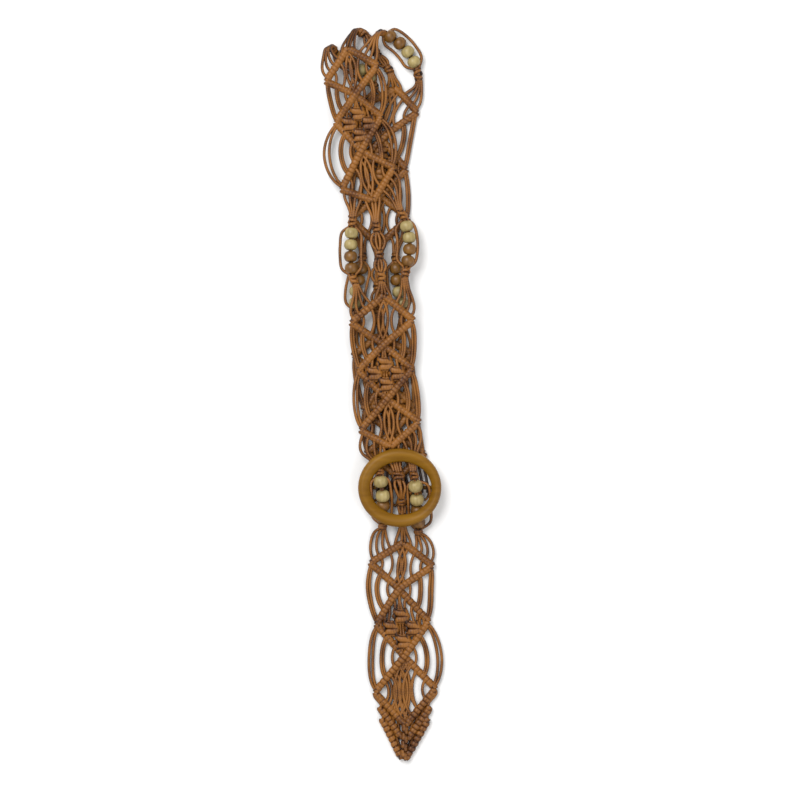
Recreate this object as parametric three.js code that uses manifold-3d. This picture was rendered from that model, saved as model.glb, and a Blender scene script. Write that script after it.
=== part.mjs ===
// Braided rope belt with a wooden ring buckle, lying flat and folded double with its tip through the ring.
// Millimetres, +Z up, the strap runs along Y. The origin is under the middle of the whole belt.
import * as THREE from 'three';
import { mergeVertices } from 'three/addons/utils/BufferGeometryUtils.js';
import Module from 'manifold-3d';

const wasm = await Module();
wasm.setup();

// Driving dimensions
const laidLength = 739; // fold to tip, as the belt lies
const strapWidth = 63; // across two corners of a diamond
const cordSize = 2.6; // one waxed cord
const barWidth = 6.6; // a cord wrapped by the others in a row of half hitches
const barThickness = 7;
const layerGap = 0.4; // air between the two layers of the folded strap
const pointFanWidth = 12; // a middle column's cords at a panel's point
const sleeveWidth = 18; // the cords looped on the crossbar
const plateThickness = 3.2; // the woven middle of a filled diamond
const diamondKnot = 10.5; // one square knot in a filled diamond, corner to corner
const knotWidth = 9.4; // one square knot on a column of cords
const knotLength = 7.6;
const knotThickness = 5.6;
const beadSize = 13.5;
const beadLength = 11.2;
const beadGap = 0.6; // air between two beads
const beadsInColumn = 4;
const coreSize = 4; // the pair of cords that a bead is threaded on
const boreGap = 0.6; // air round that pair
const seatGap = 0.3; // air between pieces that meet
const ringWidth = 83.8; // oval wooden ring, across
const ringHeight = 79;
const ringRim = 11.2; // from the outer edge to the hole
const ringDepth = 7.4;
const ringTilt = 1.2; // degrees, the free side of the ring rides higher
const ringShift = 1.2; // the ring's middle lies this far right of the strap's centre line
const crossbarSize = 4.4;
const crossbarDrop = 5.6; // the crossbar lies this far under the ring's back

// The strap's route as it lies, from the ring's crossbar round the fold to the tip.
// across is a share of the strap's width from the ring's centre line, along a share of the laid length from
// the ring's centre. bars and beads count how many bar and bead thicknesses the strap's middle is above the
// floor, and turn is the angle of the strap's cross line.
const route = [
  { name: 'crossbar', across: 0.008, along: 0.0055, bars: 1.15, beads: 0, turn: 0 },
  { name: 'first panel starts', across: 0.002, along: 0.014, bars: 0.8, beads: 0, turn: 0 },
  { across: -0.024, along: 0.035, bars: 0.5, beads: 0, turn: 0 },
  { across: -0.088, along: 0.065, bars: 0.5, beads: 0, turn: 1 },
  { across: -0.167, along: 0.119, bars: 0.5, beads: 0, turn: 2 },
  { across: -0.247, along: 0.174, bars: 0.5, beads: 0, turn: 2 },
  { name: 'first panel ends', across: -0.295, along: 0.208, bars: 0.5, beads: 0, turn: 1 },
  { across: -0.327, along: 0.242, bars: 0, beads: 0.5, turn: 0 },
  { across: -0.335, along: 0.269, bars: 0, beads: 0.5, turn: 0 },
  { across: -0.327, along: 0.303, bars: 0, beads: 0.5, turn: 0 },
  { name: 'second panel starts', across: -0.319, along: 0.33, bars: 0.5, beads: 0, turn: 0 },
  { across: -0.311, along: 0.357, bars: 0.5, beads: 0, turn: 0 },
  { across: -0.295, along: 0.391, bars: 0.5, beads: 0, turn: 0 },
  { across: -0.279, along: 0.459, bars: 0.5, beads: 0, turn: -2 },
  { across: -0.215, along: 0.5, bars: 0.5, beads: 0, turn: -6 },
  { across: -0.12, along: 0.525, bars: 0.5, beads: 0, turn: -4 },
  { name: 'second panel ends', across: -0.072, along: 0.544, bars: 0.53, beads: 0, turn: 6 },
  { across: -0.1, along: 0.556, bars: 0.02, beads: 0.5, turn: 14 },
  { across: -0.152, along: 0.568, bars: 0, beads: 0.5, turn: 22 },
  { across: -0.327, along: 0.583, bars: 0, beads: 0.5, turn: 32 },
  { across: -0.518, along: 0.596, bars: 0, beads: 0.5, turn: 30 },
  { across: -0.662, along: 0.601, bars: 0.02, beads: 0.55, turn: 24 },
  { name: 'fold', across: -0.735, along: 0.6065, bars: 0.3, beads: 0.78, turn: 18 },
  { across: -0.789, along: 0.603, bars: 0.56, beads: 1.03, turn: 12 },
  { name: 'third panel starts', across: -0.805, along: 0.5965, bars: 0.58, beads: 1.06, turn: 8 },
  { across: -0.758, along: 0.571, bars: 0.55, beads: 1.04, turn: 5 },
  { across: -0.702, along: 0.538, bars: 0.6, beads: 0.94, turn: 4 },
  { across: -0.646, along: 0.5, bars: 1.57, beads: 0, turn: 3 },
  { across: -0.598, along: 0.461, bars: 1.57, beads: 0, turn: 4 },
  { across: -0.502, along: 0.425, bars: 1.57, beads: 0, turn: 5 },
  { name: 'third panel ends', across: -0.407, along: 0.39, bars: 1.6, beads: 0.02, turn: 4 },
  { across: -0.359, along: 0.357, bars: 1.07, beads: 0.53, turn: 3 },
  { across: -0.311, along: 0.323, bars: 1.36, beads: 0.53, turn: 2 },
  { across: -0.279, along: 0.289, bars: 0.88, beads: 0.83, turn: 1 },
  { name: 'fourth panel starts', across: -0.239, along: 0.261, bars: 0.78, beads: 0.83, turn: 0 },
  { across: -0.239, along: 0.228, bars: 0.7, beads: 0.76, turn: 0 },
  { across: -0.239, along: 0.194, bars: 1.57, beads: 0, turn: 0 },
  { across: -0.215, along: 0.16, bars: 1.57, beads: 0, turn: 1 },
  { across: -0.183, along: 0.121, bars: 1.57, beads: 0, turn: 2 },
  { across: -0.152, along: 0.088, bars: 1.57, beads: 0, turn: 2 },
  { name: 'fourth panel ends', across: -0.12, along: 0.055, bars: 1.57, beads: 0, turn: 2 },
  { across: -0.06, along: 0.035, bars: 1.57, beads: 0, turn: 1 },
  { across: -0.02, along: 0.024, bars: 1.8, beads: 0, turn: 1 },
  { across: 0.01, along: 0.008, bars: 2.6, beads: 0, turn: 0 },
  { across: 0.03, along: -0.001, bars: 2.9, beads: 0, turn: 0 },
  { across: 0.04, along: -0.01, bars: 2.45, beads: 0, turn: 0 },
  { across: 0.046, along: -0.018, bars: 1.6, beads: 0, turn: 0 },
  { across: 0.052, along: -0.026, bars: 0.08, beads: 0.5, turn: 0 },
  { across: 0.06, along: -0.037, bars: 0.02, beads: 0.5, turn: 0 },
  { across: 0.065, along: -0.053, bars: 0.02, beads: 0.5, turn: 0 },
  { across: 0.07, along: -0.066, bars: 0.52, beads: 0, turn: 0 },
  { name: 'fifth panel starts', across: 0.072, along: -0.0755, bars: 0.5, beads: 0, turn: 0 },
  { across: 0.056, along: -0.103, bars: 0.5, beads: 0, turn: 0 },
  { across: 0.008, along: -0.138, bars: 0.5, beads: 0, turn: 0 },
  { across: 0.04, along: -0.18, bars: 0.5, beads: 0, turn: 0 },
  { across: 0.088, along: -0.23, bars: 0.5, beads: 0, turn: 0 },
  { across: 0.096, along: -0.275, bars: 0.5, beads: 0, turn: 0 },
  { name: 'fifth panel ends', across: 0.104, along: -0.324, bars: 0.5, beads: 0, turn: 0 },
  { name: 'tip', across: 0.08, along: -0.373, bars: 0.5, beads: 0, turn: 0 },
];

// Where a panel's two leading cords turn and cross, as shares of its length and of half its width. The rows
// are the point, a corner, the crossing, the filled diamond's corner, the crossing, a corner and the point.
const evenPanel = [
  { leftAlong: 0, left: 0, rightAlong: 0, right: 0 },
  { leftAlong: 0.17, left: -0.93, rightAlong: 0.17, right: 0.93 },
  { leftAlong: 0.31, left: 0, rightAlong: 0.31, right: 0 },
  { leftAlong: 0.48, left: -0.83, rightAlong: 0.48, right: 0.83 },
  { leftAlong: 0.67, left: 0, rightAlong: 0.67, right: 0 },
  { leftAlong: 0.86, left: -0.93, rightAlong: 0.86, right: 0.93 },
  { leftAlong: 1, left: 0, rightAlong: 1, right: 0 },
];
const foldPanel = [
  { leftAlong: 0, left: 0, rightAlong: 0, right: 0 },
  { leftAlong: 0.203, left: -0.86, rightAlong: 0.128, right: 0.83 },
  { leftAlong: 0.301, left: 0, rightAlong: 0.301, right: 0 },
  { leftAlong: 0.478, left: -0.72, rightAlong: 0.454, right: 0.75 },
  { leftAlong: 0.667, left: 0, rightAlong: 0.667, right: 0 },
  { leftAlong: 0.91, left: -0.91, rightAlong: 0.795, right: 0.9 },
  { leftAlong: 1, left: 0, rightAlong: 1, right: 0 },
];
const frontPanel = [
  { leftAlong: 0, left: 0, rightAlong: 0, right: 0 },
  { leftAlong: 0.179, left: -1.04, rightAlong: 0.162, right: 0.95 },
  { leftAlong: 0.325, left: 0, rightAlong: 0.325, right: 0 },
  { leftAlong: 0.49, left: -0.86, rightAlong: 0.487, right: 0.88 },
  { leftAlong: 0.682, left: 0, rightAlong: 0.682, right: 0 },
  { leftAlong: 0.881, left: -0.92, rightAlong: 0.841, right: 0.97 },
  { leftAlong: 1, left: 0, rightAlong: 1, right: 0 },
];
const tipPanel = [
  { leftAlong: 0, left: 0, rightAlong: 0, right: 0 },
  { leftAlong: 0.109, left: -1.02, rightAlong: 0.126, right: 0.99 },
  { leftAlong: 0.251, left: 0, rightAlong: 0.251, right: 0 },
  { leftAlong: 0.448, left: -0.81, rightAlong: 0.432, right: 0.88 },
  { leftAlong: 0.623, left: 0, rightAlong: 0.623, right: 0 },
  { leftAlong: 0.82, left: -0.95, rightAlong: 0.8, right: 0.99 },
  { leftAlong: 1, left: 0, rightAlong: 1, right: 0 },
];

// The rows of the pointed tip under the last diamond: outer ends and middles, shares as above, where a length
// over 1 lies past the last panel's end.
const tipRows = [
  { outerAlong: 0.9, outer: 0.94, innerAlong: 1.085, inner: 0.07 },
  { outerAlong: 0.965, outer: 0.9, innerAlong: 1.18, inner: 0.05 },
];

// Bands of cords between two bars: the stretch of bar that they leave, as shares of it from the crossing or
// point, their width in the middle in cords, and how far they bow outwards as a share of the strap's width. A
// share below 0 bows inwards.
const innerWeb = { from: 0.26, to: 0.72, cords: 3.6, bow: -0.03 };
const backWebs = [{ from: 0.42, to: 0.9, cords: 4, bow: 0.06 }];
const frontWebs = [
  { from: 0.3, to: 0.5, cords: 2, bow: 0.05 },
  { from: 0.68, to: 0.9, cords: 2, bow: 0.075 },
];
// Panels, each from one named row of the route to another, with the bands that pass outside its crossings
const panels = [
  { form: evenPanel, from: 'first panel starts', to: 'first panel ends', outerWebs: backWebs },
  { form: evenPanel, from: 'second panel starts', to: 'second panel ends', outerWebs: backWebs },
  { form: foldPanel, from: 'third panel starts', to: 'third panel ends', outerWebs: frontWebs },
  { form: frontPanel, from: 'fourth panel starts', to: 'fourth panel ends', outerWebs: frontWebs },
  { form: tipPanel, from: 'fifth panel starts', to: 'fifth panel ends', outerWebs: frontWebs },
];

// Stretches between the panels. middleKnots are shares of the stretch's length. In a column, beadsFrom is the
// share where its first bead begins, and spread is what parts its beads where they bend, counted in crossbar
// sizes. Its rows are along, a share of the length, and across, a share of half the strap's width.
const stretches = [
  {
    middleKnots: [0.28, 0.54, 0.8],
    columns: [
      { side: 'left', beadsFrom: 0.29, spread: [0, 0, 0], rows: [{ along: 0, across: -0.55 },
        { along: 0.3, across: -0.72 }, { along: 0.52, across: -0.68 }, { along: 0.75, across: -0.52 },
        { along: 1, across: -0.5 }] },
      { side: 'right', beadsFrom: 0.29, spread: [0, 0, 0], rows: [{ along: 0, across: 0.6 },
        { along: 0.3, across: 0.8 }, { along: 0.52, across: 0.64 }, { along: 0.75, across: 0.58 },
        { along: 1, across: 0.55 }] },
    ],
  },
  {
    middleKnots: [0.25, 0.48, 0.7],
    columns: [
      { side: 'left', beadsFrom: 0.13, spread: [0, 0, 0.1], rows: [{ along: 0, across: -0.62 },
        { along: 0.25, across: -0.64 }, { along: 0.5, across: -0.66 }, { along: 0.78, across: -0.7 },
        { along: 1, across: -0.6 }] },
      { side: 'right', beadsFrom: 0.17, spread: [0.05, 0, 0.05], rows: [{ along: 0, across: 0.8 },
        { along: 0.25, across: 0.86 }, { along: 0.5, across: 0.88 }, { along: 0.78, across: 0.94 },
        { along: 1, across: 0.7 }] },
    ],
  },
  {
    middleKnots: [0.29, 0.57, 0.8],
    columns: [
      { side: 'left', beadsFrom: 0.27, spread: [0, 0, 0], rows: [{ along: 0, across: -0.6 },
        { along: 0.25, across: -0.76 }, { along: 0.5, across: -0.9 }, { along: 0.75, across: -0.92 },
        { along: 1, across: -0.75 }] },
      { side: 'right', beadsFrom: 0.23, spread: [0, 0, 0], rows: [{ along: 0, across: 0.65 },
        { along: 0.25, across: 0.95 }, { along: 0.5, across: 1.0 }, { along: 0.75, across: 0.8 },
        { along: 1, across: 0.6 }] },
    ],
  },
  {
    middleKnots: [0.3, 0.58, 0.76],
    columns: [
      { side: 'left', beadsFrom: 0.29, spread: [1, 0, 0.15], rows: [{ along: 0, across: -0.5 },
        { along: 0.25, across: -0.52 }, { along: 0.5, across: -0.51 }, { along: 0.75, across: -0.56 },
        { along: 1, across: -0.6 }] },
      { side: 'right', beadsFrom: 0.34, spread: [1, 0.35, 0], rows: [{ along: 0, across: 0.5 },
        { along: 0.25, across: 0.5 }, { along: 0.5, across: 0.5 }, { along: 0.75, across: 0.5 },
        { along: 1, across: 0.5 }] },
    ],
  },
];

// Shares for knots, bands and fans
const knotEnd = 0.62; // width of a knot's ends against its middle
const filledKnots = [
  { along: -0.22, across: 0 },
  { along: 0.16, across: -0.42 },
  { along: 0.16, across: 0.42 },
  { along: 0.54, across: 0 },
];
const fanFrom = 0.22; // a side column's cords leave the bar between these shares of it
const fanTo = 0.6;

// Cross sections as shares of half the width and half the thickness
const barSection = [[1, 0], [0.5, 1], [-0.5, 1], [-1, 0], [-0.5, -1], [0.5, -1]];
const webSection = [[1, -1], [1, 1], [-1, 1], [-1, -1]];

// The ring's rim from its back outwards, up and over to the hole, and its crossbar from side to side
const rimProfile = [
  { inward: 0.13, up: 0 }, { inward: 0, up: 0.3 }, { inward: 0.1, up: 0.72 }, { inward: 0.32, up: 0.97 },
  { inward: 0.55, up: 0.94 }, { inward: 0.86, up: 0.62 }, { inward: 1, up: 0.3 }, { inward: 0.88, up: 0 },
];
const crossbarStops = [
  { across: -1, drop: -0.4 }, { across: -0.9, drop: 0.2 }, { across: -0.77, drop: 1 },
  { across: 0.77, drop: 1 }, { across: 0.9, drop: 0.2 }, { across: 1, drop: -0.4 },
];
const ringFloor = 2 * (barThickness + layerGap) + seatGap; // the ring's back clears both layers of the strap
const crossbarHeight = ringFloor - crossbarDrop;
const ringCentre = new THREE.Vector3(ringShift, 0, ringFloor);

const caramel = new THREE.MeshStandardMaterial({ color: 0x9c6238, roughness: 0.7, metalness: 0 });
const cream = new THREE.MeshStandardMaterial({ color: 0xc4b27e, roughness: 0.45, metalness: 0 });
const brown = new THREE.MeshStandardMaterial({ color: 0x80521f, roughness: 0.45, metalness: 0 });
const ochre = new THREE.MeshStandardMaterial({ color: 0x8f641f, roughness: 0.4, metalness: 0 });

// The route as smooth curves

// Slopes of a smooth curve through values at given distances that never swings past them
function steadySlopes(distances, values) {
  const rises = values.slice(1).map((value, i) => (value - values[i]) / (distances[i + 1] - distances[i]));
  return values.map((_, i) => {
    if (i === 0 || i === values.length - 1) return 0;
    const before = rises[i - 1];
    const after = rises[i];
    return before * after <= 0 ? 0 : 2 * before * after / (before + after);
  });
}

// Slopes of a smooth curve through values, the mean rise past each point
function roundSlopes(distances, values) {
  const last = values.length - 1;
  return values.map((_, i) => {
    const from = Math.max(i - 1, 0);
    const to = Math.min(i + 1, last);
    return (values[to] - values[from]) / (distances[to] - distances[from]);
  });
}

// Value of the cubic curve through the values with these slopes
function onCurve(distances, values, slopes, s) {
  let i = 0;
  while (i < distances.length - 2 && s > distances[i + 1]) i += 1;
  const span = distances[i + 1] - distances[i];
  const t = (s - distances[i]) / span;
  if (t > 1) return values[i + 1] + slopes[i + 1] * (s - distances[i + 1]);
  const rise = values[i + 1] - values[i];
  const start = slopes[i] * span;
  const end = slopes[i + 1] * span;
  return values[i] + start * t + (3 * rise - 2 * start - end) * t * t + (start + end - 2 * rise) * t * t * t;
}

const routePoints = route.map((row) => new THREE.Vector3(
  row.across * strapWidth,
  row.along * laidLength,
  row.bars * barThickness + row.beads * beadSize,
));
const distances = [0];
for (let i = 1; i < routePoints.length; i += 1) {
  distances.push(distances[i - 1] + routePoints[i].distanceTo(routePoints[i - 1]));
}
const routeCurves = [
  { values: routePoints.map((point) => point.x), slopes: roundSlopes },
  { values: routePoints.map((point) => point.y), slopes: roundSlopes },
  { values: routePoints.map((point) => point.z), slopes: steadySlopes },
  { values: route.map((row) => THREE.MathUtils.degToRad(row.turn)), slopes: roundSlopes },
].map(({ values, slopes }) => ({ values, slopes: slopes(distances, values) }));

function routeValues(s) {
  return routeCurves.map(({ values, slopes }) => onCurve(distances, values, slopes, s));
}

// A place on the strap with its own up direction: s along its route, b across it, lift above its middle
function place(s, b, lift = 0) {
  const step = 0.5;
  const [x, y, z, turn] = routeValues(s);
  const ahead = new THREE.Vector3(...routeValues(s + step)).sub(new THREE.Vector3(...routeValues(s - step)));
  const cross = new THREE.Vector3(Math.cos(turn), Math.sin(turn), 0);
  const up = new THREE.Vector3().crossVectors(ahead, cross).normalize();
  const point = new THREE.Vector3(x, y, z).addScaledVector(cross, b).addScaledVector(up, lift);
  return { point, up };
}

function stationOf(name) {
  return distances[route.findIndex((row) => row.name === name)];
}

// Solids

// Closed body through rings of points, each ring one cross section
function bodyThroughRings(rings) {
  const count = rings[0].length;
  const points = rings.flat();
  const triangles = [];
  for (let r = 0; r < rings.length - 1; r += 1) {
    for (let i = 0; i < count; i += 1) {
      const a = r * count + i;
      const b = r * count + (i + 1) % count;
      triangles.push([a, b, b + count], [a, b + count, a + count]);
    }
  }
  const top = (rings.length - 1) * count;
  for (let i = 1; i < count - 1; i += 1) {
    triangles.push([0, i + 1, i], [top, top + i, top + i + 1]);
  }
  let volume = 0;
  for (const [a, b, c] of triangles) {
    volume += points[a].dot(new THREE.Vector3().crossVectors(points[b], points[c]));
  }
  const facing = volume > 0 ? triangles : triangles.map(([a, b, c]) => [a, c, b]);
  return new wasm.Manifold(new wasm.Mesh({
    numProp: 3,
    vertProperties: new Float32Array(points.flatMap((point) => point.toArray())),
    triVerts: new Uint32Array(facing.flat()),
  }));
}

// Ring of points round a centre, from half its side and half its height
function ringOf(centre, side, rise, section) {
  return section.map(([u, v]) => centre.clone().addScaledVector(side, u).addScaledVector(rise, v));
}

// Rings across a run of places, mitred where the run turns; each place has its own width and thickness
function ringsAlong(places, section) {
  return places.map(({ point, up, width, thickness }, i) => {
    const into = point.clone().sub(places[Math.max(i - 1, 0)].point).normalize();
    const out = places[Math.min(i + 1, places.length - 1)].point.clone().sub(point).normalize();
    const ahead = into.clone().add(out).normalize();
    const mitre = 1 / Math.max(ahead.dot(i === 0 ? out : into), 0.6);
    const side = new THREE.Vector3().crossVectors(ahead, up).normalize();
    const rise = new THREE.Vector3().crossVectors(side, ahead).normalize();
    return ringOf(
      point,
      side.multiplyScalar(mitre * width / 2),
      rise.multiplyScalar(thickness / 2),
      section,
    );
  });
}

function carried(places, width, thickness, section) {
  return bodyThroughRings(ringsAlong(places.map((place) => ({ ...place, width, thickness })), section));
}

function union(bodies) {
  return bodies.slice(1).reduce((whole, body) => whole.add(body), bodies[0]);
}

function fromGeometry(source) {
  const geometry = source.clone();
  geometry.deleteAttribute('normal');
  geometry.deleteAttribute('uv');
  const merged = mergeVertices(geometry, 1e-4);
  return new wasm.Manifold(new wasm.Mesh({
    numProp: 3,
    vertProperties: merged.getAttribute('position').array,
    triVerts: new Uint32Array(merged.getIndex().array),
  }));
}

function toGeometry(body) {
  const mesh = body.getMesh();
  const geometry = new THREE.BufferGeometry();
  geometry.setAttribute('position', new THREE.Float32BufferAttribute(mesh.vertProperties, 3));
  geometry.setIndex(Array.from(mesh.triVerts));
  geometry.computeVertexNormals();
  return geometry;
}

// Spot on the strap between two others
function mix(from, to, t) {
  return { s: from.s + (to.s - from.s) * t, b: from.b + (to.b - from.b) * t };
}

const placeOf = ({ s, b }) => place(s, b);

// Diamond panels

// Spots where the two leading cords of a panel turn and cross
function cornersOf(panel) {
  const length = panel.end - panel.start;
  return panel.form.map((row) => ({
    left: { s: panel.start + row.leftAlong * length, b: row.left * strapWidth / 2 },
    right: { s: panel.start + row.rightAlong * length, b: row.right * strapWidth / 2 },
  }));
}

// Knotted bars: two zigzag lines that cross twice, made fatter all round by growth
function barsOf(panel, growth = 0) {
  const corners = cornersOf(panel);
  return ['left', 'right'].map((first) => {
    const second = first === 'left' ? 'right' : 'left';
    const sides = [first, first, first, second, second, first, first];
    const spots = corners.map((corner, i) => corner[sides[i]]);
    const runOn = 0.05;
    spots[0] = mix(spots[0], spots[1], -runOn);
    spots[6] = mix(spots[6], spots[5], -runOn);
    return carried(spots.map(placeOf), barWidth + 2 * growth, barThickness + 2 * growth, barSection);
  });
}

// Cross section that lies along a stretch of bar, between two shares of it
function ringOnBar(start, end, from, to) {
  const [a, b] = [placeOf(mix(start, end, from)), placeOf(mix(start, end, to))];
  const side = b.point.clone().sub(a.point).multiplyScalar(0.5);
  const centre = a.point.clone().add(side);
  return { centre, side, rise: a.up.clone().multiplyScalar(cordSize / 2) };
}

// Band of cords from one bar to another, bowed outwards in the middle. Bars run from a crossing to a corner.
function web([startA, endA], [startB, endB], { from, to, cords, bow }, outward) {
  const first = ringOnBar(startA, endA, from, to);
  const last = ringOnBar(startB, endB, from, to);
  const share = (from + to) / 2;
  const middle = mix(mix(startA, endA, share), mix(startB, endB, share), 0.5);
  const { point, up } = place(middle.s, middle.b + outward * bow * strapWidth);
  const ahead = last.centre.clone().sub(first.centre);
  const side = new THREE.Vector3().crossVectors(ahead, up).setLength(cords * cordSize / 2);
  if (side.dot(first.side) < 0) side.negate();
  if (last.side.dot(side) < 0) last.side.negate();
  return bodyThroughRings([
    ringOf(first.centre, first.side, first.rise, webSection),
    ringOf(point, side, up.clone().multiplyScalar(cordSize / 2), webSection),
    ringOf(last.centre, last.side, last.rise, webSection),
  ]);
}

// Cords inside the open diamonds, and cords that pass outside the crossings
function websOf(panel) {
  const corners = cornersOf(panel);
  const bodies = [];
  for (const [side, outward] of [['left', -1], ['right', 1]]) {
    const bar = (from, to) => [corners[from][side], corners[to][side]];
    for (const first of [0, 4]) {
      bodies.push(web(bar(first, first + 1), bar(first + 2, first + 1), innerWeb, outward));
    }
    for (const crossing of [2, 4]) {
      for (const outerWeb of panel.outerWebs) {
        bodies.push(web(bar(crossing, crossing - 1), bar(crossing, crossing + 1), outerWeb, outward));
      }
    }
  }
  return bodies;
}

// Square knot: a block that swells in the middle
function knotStops(at, centre) {
  return [-0.5, 0, 0.5].map((t) => ({
    ...at(centre + t * knotLength),
    width: knotWidth * (t === 0 ? 1 : knotEnd),
    thickness: knotThickness * (t === 0 ? 1 : knotEnd),
  }));
}

// Thin body between cross lines of the strap, each from one spot's place to another
function plate(lines) {
  return bodyThroughRings(lines.map(([from, to]) => {
    const [a, b] = [placeOf(from), placeOf(to)];
    const side = b.point.clone().sub(a.point).multiplyScalar(0.5);
    const centre = a.point.clone().add(side);
    return ringOf(centre, side, a.up.clone().multiplyScalar(plateThickness / 2), webSection);
  }));
}

// Woven middle of the filled diamond with its four square knots
function filledOf(panel) {
  const corners = cornersOf(panel);
  const [top, side, bottom] = [corners[2], corners[3], corners[4]];
  const sliver = 0.1 * barWidth;
  const cut = ({ s }) => [{ s, b: -sliver }, { s, b: sliver }];
  const bodies = [plate([cut(top.left), [side.left, side.right], cut(bottom.left)])];
  const middle = (side.left.s + side.right.s) / 2;
  const reach = (bottom.left.s - top.left.s) / 2;
  const width = (side.right.b - side.left.b) / 2;
  for (const { along, across } of filledKnots) {
    const stops = [-0.5, 0, 0.5].map((t) => ({
      ...place(middle + along * reach + t * diamondKnot, across * width),
      width: diamondKnot * (t === 0 ? 1 : knotEnd),
      thickness: barThickness * 0.9,
    }));
    bodies.push(bodyThroughRings(ringsAlong(stops, webSection)));
  }
  return bodies;
}

// V-shaped rows that close the strap to a point
function tipOf(panel) {
  const length = panel.end - panel.start;
  const spot = (along, across) => ({ s: panel.start + along * length, b: across * strapWidth / 2 });
  const bodies = [];
  for (const row of tipRows) {
    for (const outward of [-1, 1]) {
      const run = [spot(row.outerAlong, outward * row.outer), spot(row.innerAlong, outward * row.inner)];
      bodies.push(carried(run.map(placeOf), barWidth, barThickness, barSection));
    }
  }
  const first = tipRows[0];
  const last = tipRows[tipRows.length - 1];
  bodies.push(plate([
    [spot(first.outerAlong, -first.outer), spot(first.outerAlong, first.outer)],
    [spot(last.outerAlong, -last.outer), spot(last.outerAlong, last.outer)],
    [spot(last.innerAlong, -last.inner), spot(last.innerAlong, last.inner)],
  ]));
  return bodies;
}

// Start of the strap: the cords looped round the crossbar, and the cords from there to the first bars
function startOf(panel) {
  const inner = crossbarSize / 2 + 2 * seatGap;
  const outer = inner + cordSize;
  const profile = [[inner, -0.5], [outer, -0.5], [outer, 0.5], [inner, 0.5], [inner, -0.5]]
    .map(([radius, along]) => new THREE.Vector2(radius, along * sleeveWidth));
  const sleeve = new THREE.LatheGeometry(profile, 10);
  sleeve.rotateZ(Math.PI / 2);
  sleeve.translate(ringCentre.x, ringCentre.y, crossbarHeight);
  const corners = cornersOf(panel);
  const bodies = [fromGeometry(sleeve)];
  for (const [side, outward] of [['left', -1], ['right', 1]]) {
    const onSleeve = [{ s: 0, b: 0 }, { s: 0, b: outward * sleeveWidth * 0.5 }];
    const onBar = [corners[0][side], corners[1][side]];
    bodies.push(web(onSleeve, onBar, { from: 0.1, to: 0.8, cords: 4, bow: 0 }, outward));
  }
  return bodies;
}

// Columns of cords between two panels

// A column cut clear of the bars it hangs between; slivers that this parts off are left out
function seated(body, stretch) {
  const rest = [stretch.above, stretch.below].flatMap((panel) => barsOf(panel, seatGap))
    .reduce((column, bar) => column.subtract(bar), body);
  return rest.decompose().reduce((most, piece) => (piece.volume() > most.volume() ? piece : most));
}

// Rings of a column with its two fans turned to match its own cross sections
function withFans(rings, above, below) {
  const across = rings[0][0].clone().sub(rings[0][3]);
  const fans = [above, below].map(({ centre, side, rise }) => {
    const same = side.dot(across) < 0 ? side.clone().negate() : side;
    return ringOf(centre, same, rise, barSection);
  });
  return [fans[0], ...rings, fans[1]];
}

// A column's own route: from a length along the stretch to a place
function routeOf(column, stretch) {
  const length = stretch.end - stretch.start;
  const alongs = column.rows.map((row) => row.along * length);
  const acrosses = column.rows.map((row) => row.across * strapWidth / 2);
  const slopes = roundSlopes(alongs, acrosses);
  return (distance) => place(stretch.start + distance, onCurve(alongs, acrosses, slopes, distance));
}

// Where a column has gone a straight length on from one distance, forwards or backwards
function onward(at, from, length) {
  const step = 0.02 * Math.sign(length);
  const start = at(from).point;
  let distance = from;
  while (at(distance).point.distanceTo(start) < Math.abs(length)) distance += step;
  return distance;
}

// Outer cord that bows round the beads from one knot to the other
function outerCord(at, from, to, outward) {
  const clear = beadSize / 2 + cordSize / 2 + boreGap;
  const bows = [
    { t: 0, bow: cordSize / 2 }, { t: 0.09, bow: clear }, { t: 0.36, bow: clear * 1.04 },
    { t: 0.64, bow: clear * 1.04 }, { t: 0.91, bow: clear }, { t: 1, bow: cordSize / 2 },
  ];
  const places = bows.map(({ t, bow }) => {
    const distance = from + (to - from) * t;
    const here = at(distance);
    const ahead = at(distance + 1).point.clone().sub(at(distance - 1).point);
    const side = new THREE.Vector3().crossVectors(ahead, here.up).normalize();
    return { point: here.point.clone().addScaledVector(side, outward * bow), up: here.up };
  });
  return carried(places, cordSize, cordSize, webSection);
}

// Profile of a drilled bead from its middle, shares of half the length and of the radius
const beadProfile = [{ along: -0.32, out: 1 }, { along: 0.32, out: 1 }];

function beadGeometry() {
  const bore = coreSize / 2 + boreGap;
  const end = beadLength / 2;
  const points = [
    new THREE.Vector2(bore, -end),
    ...beadProfile.map(({ along, out }) => new THREE.Vector2(out * beadSize / 2, along * end)),
    new THREE.Vector2(bore, end),
    new THREE.Vector2(bore, -end),
  ];
  return new THREE.LatheGeometry(points, 10);
}

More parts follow.
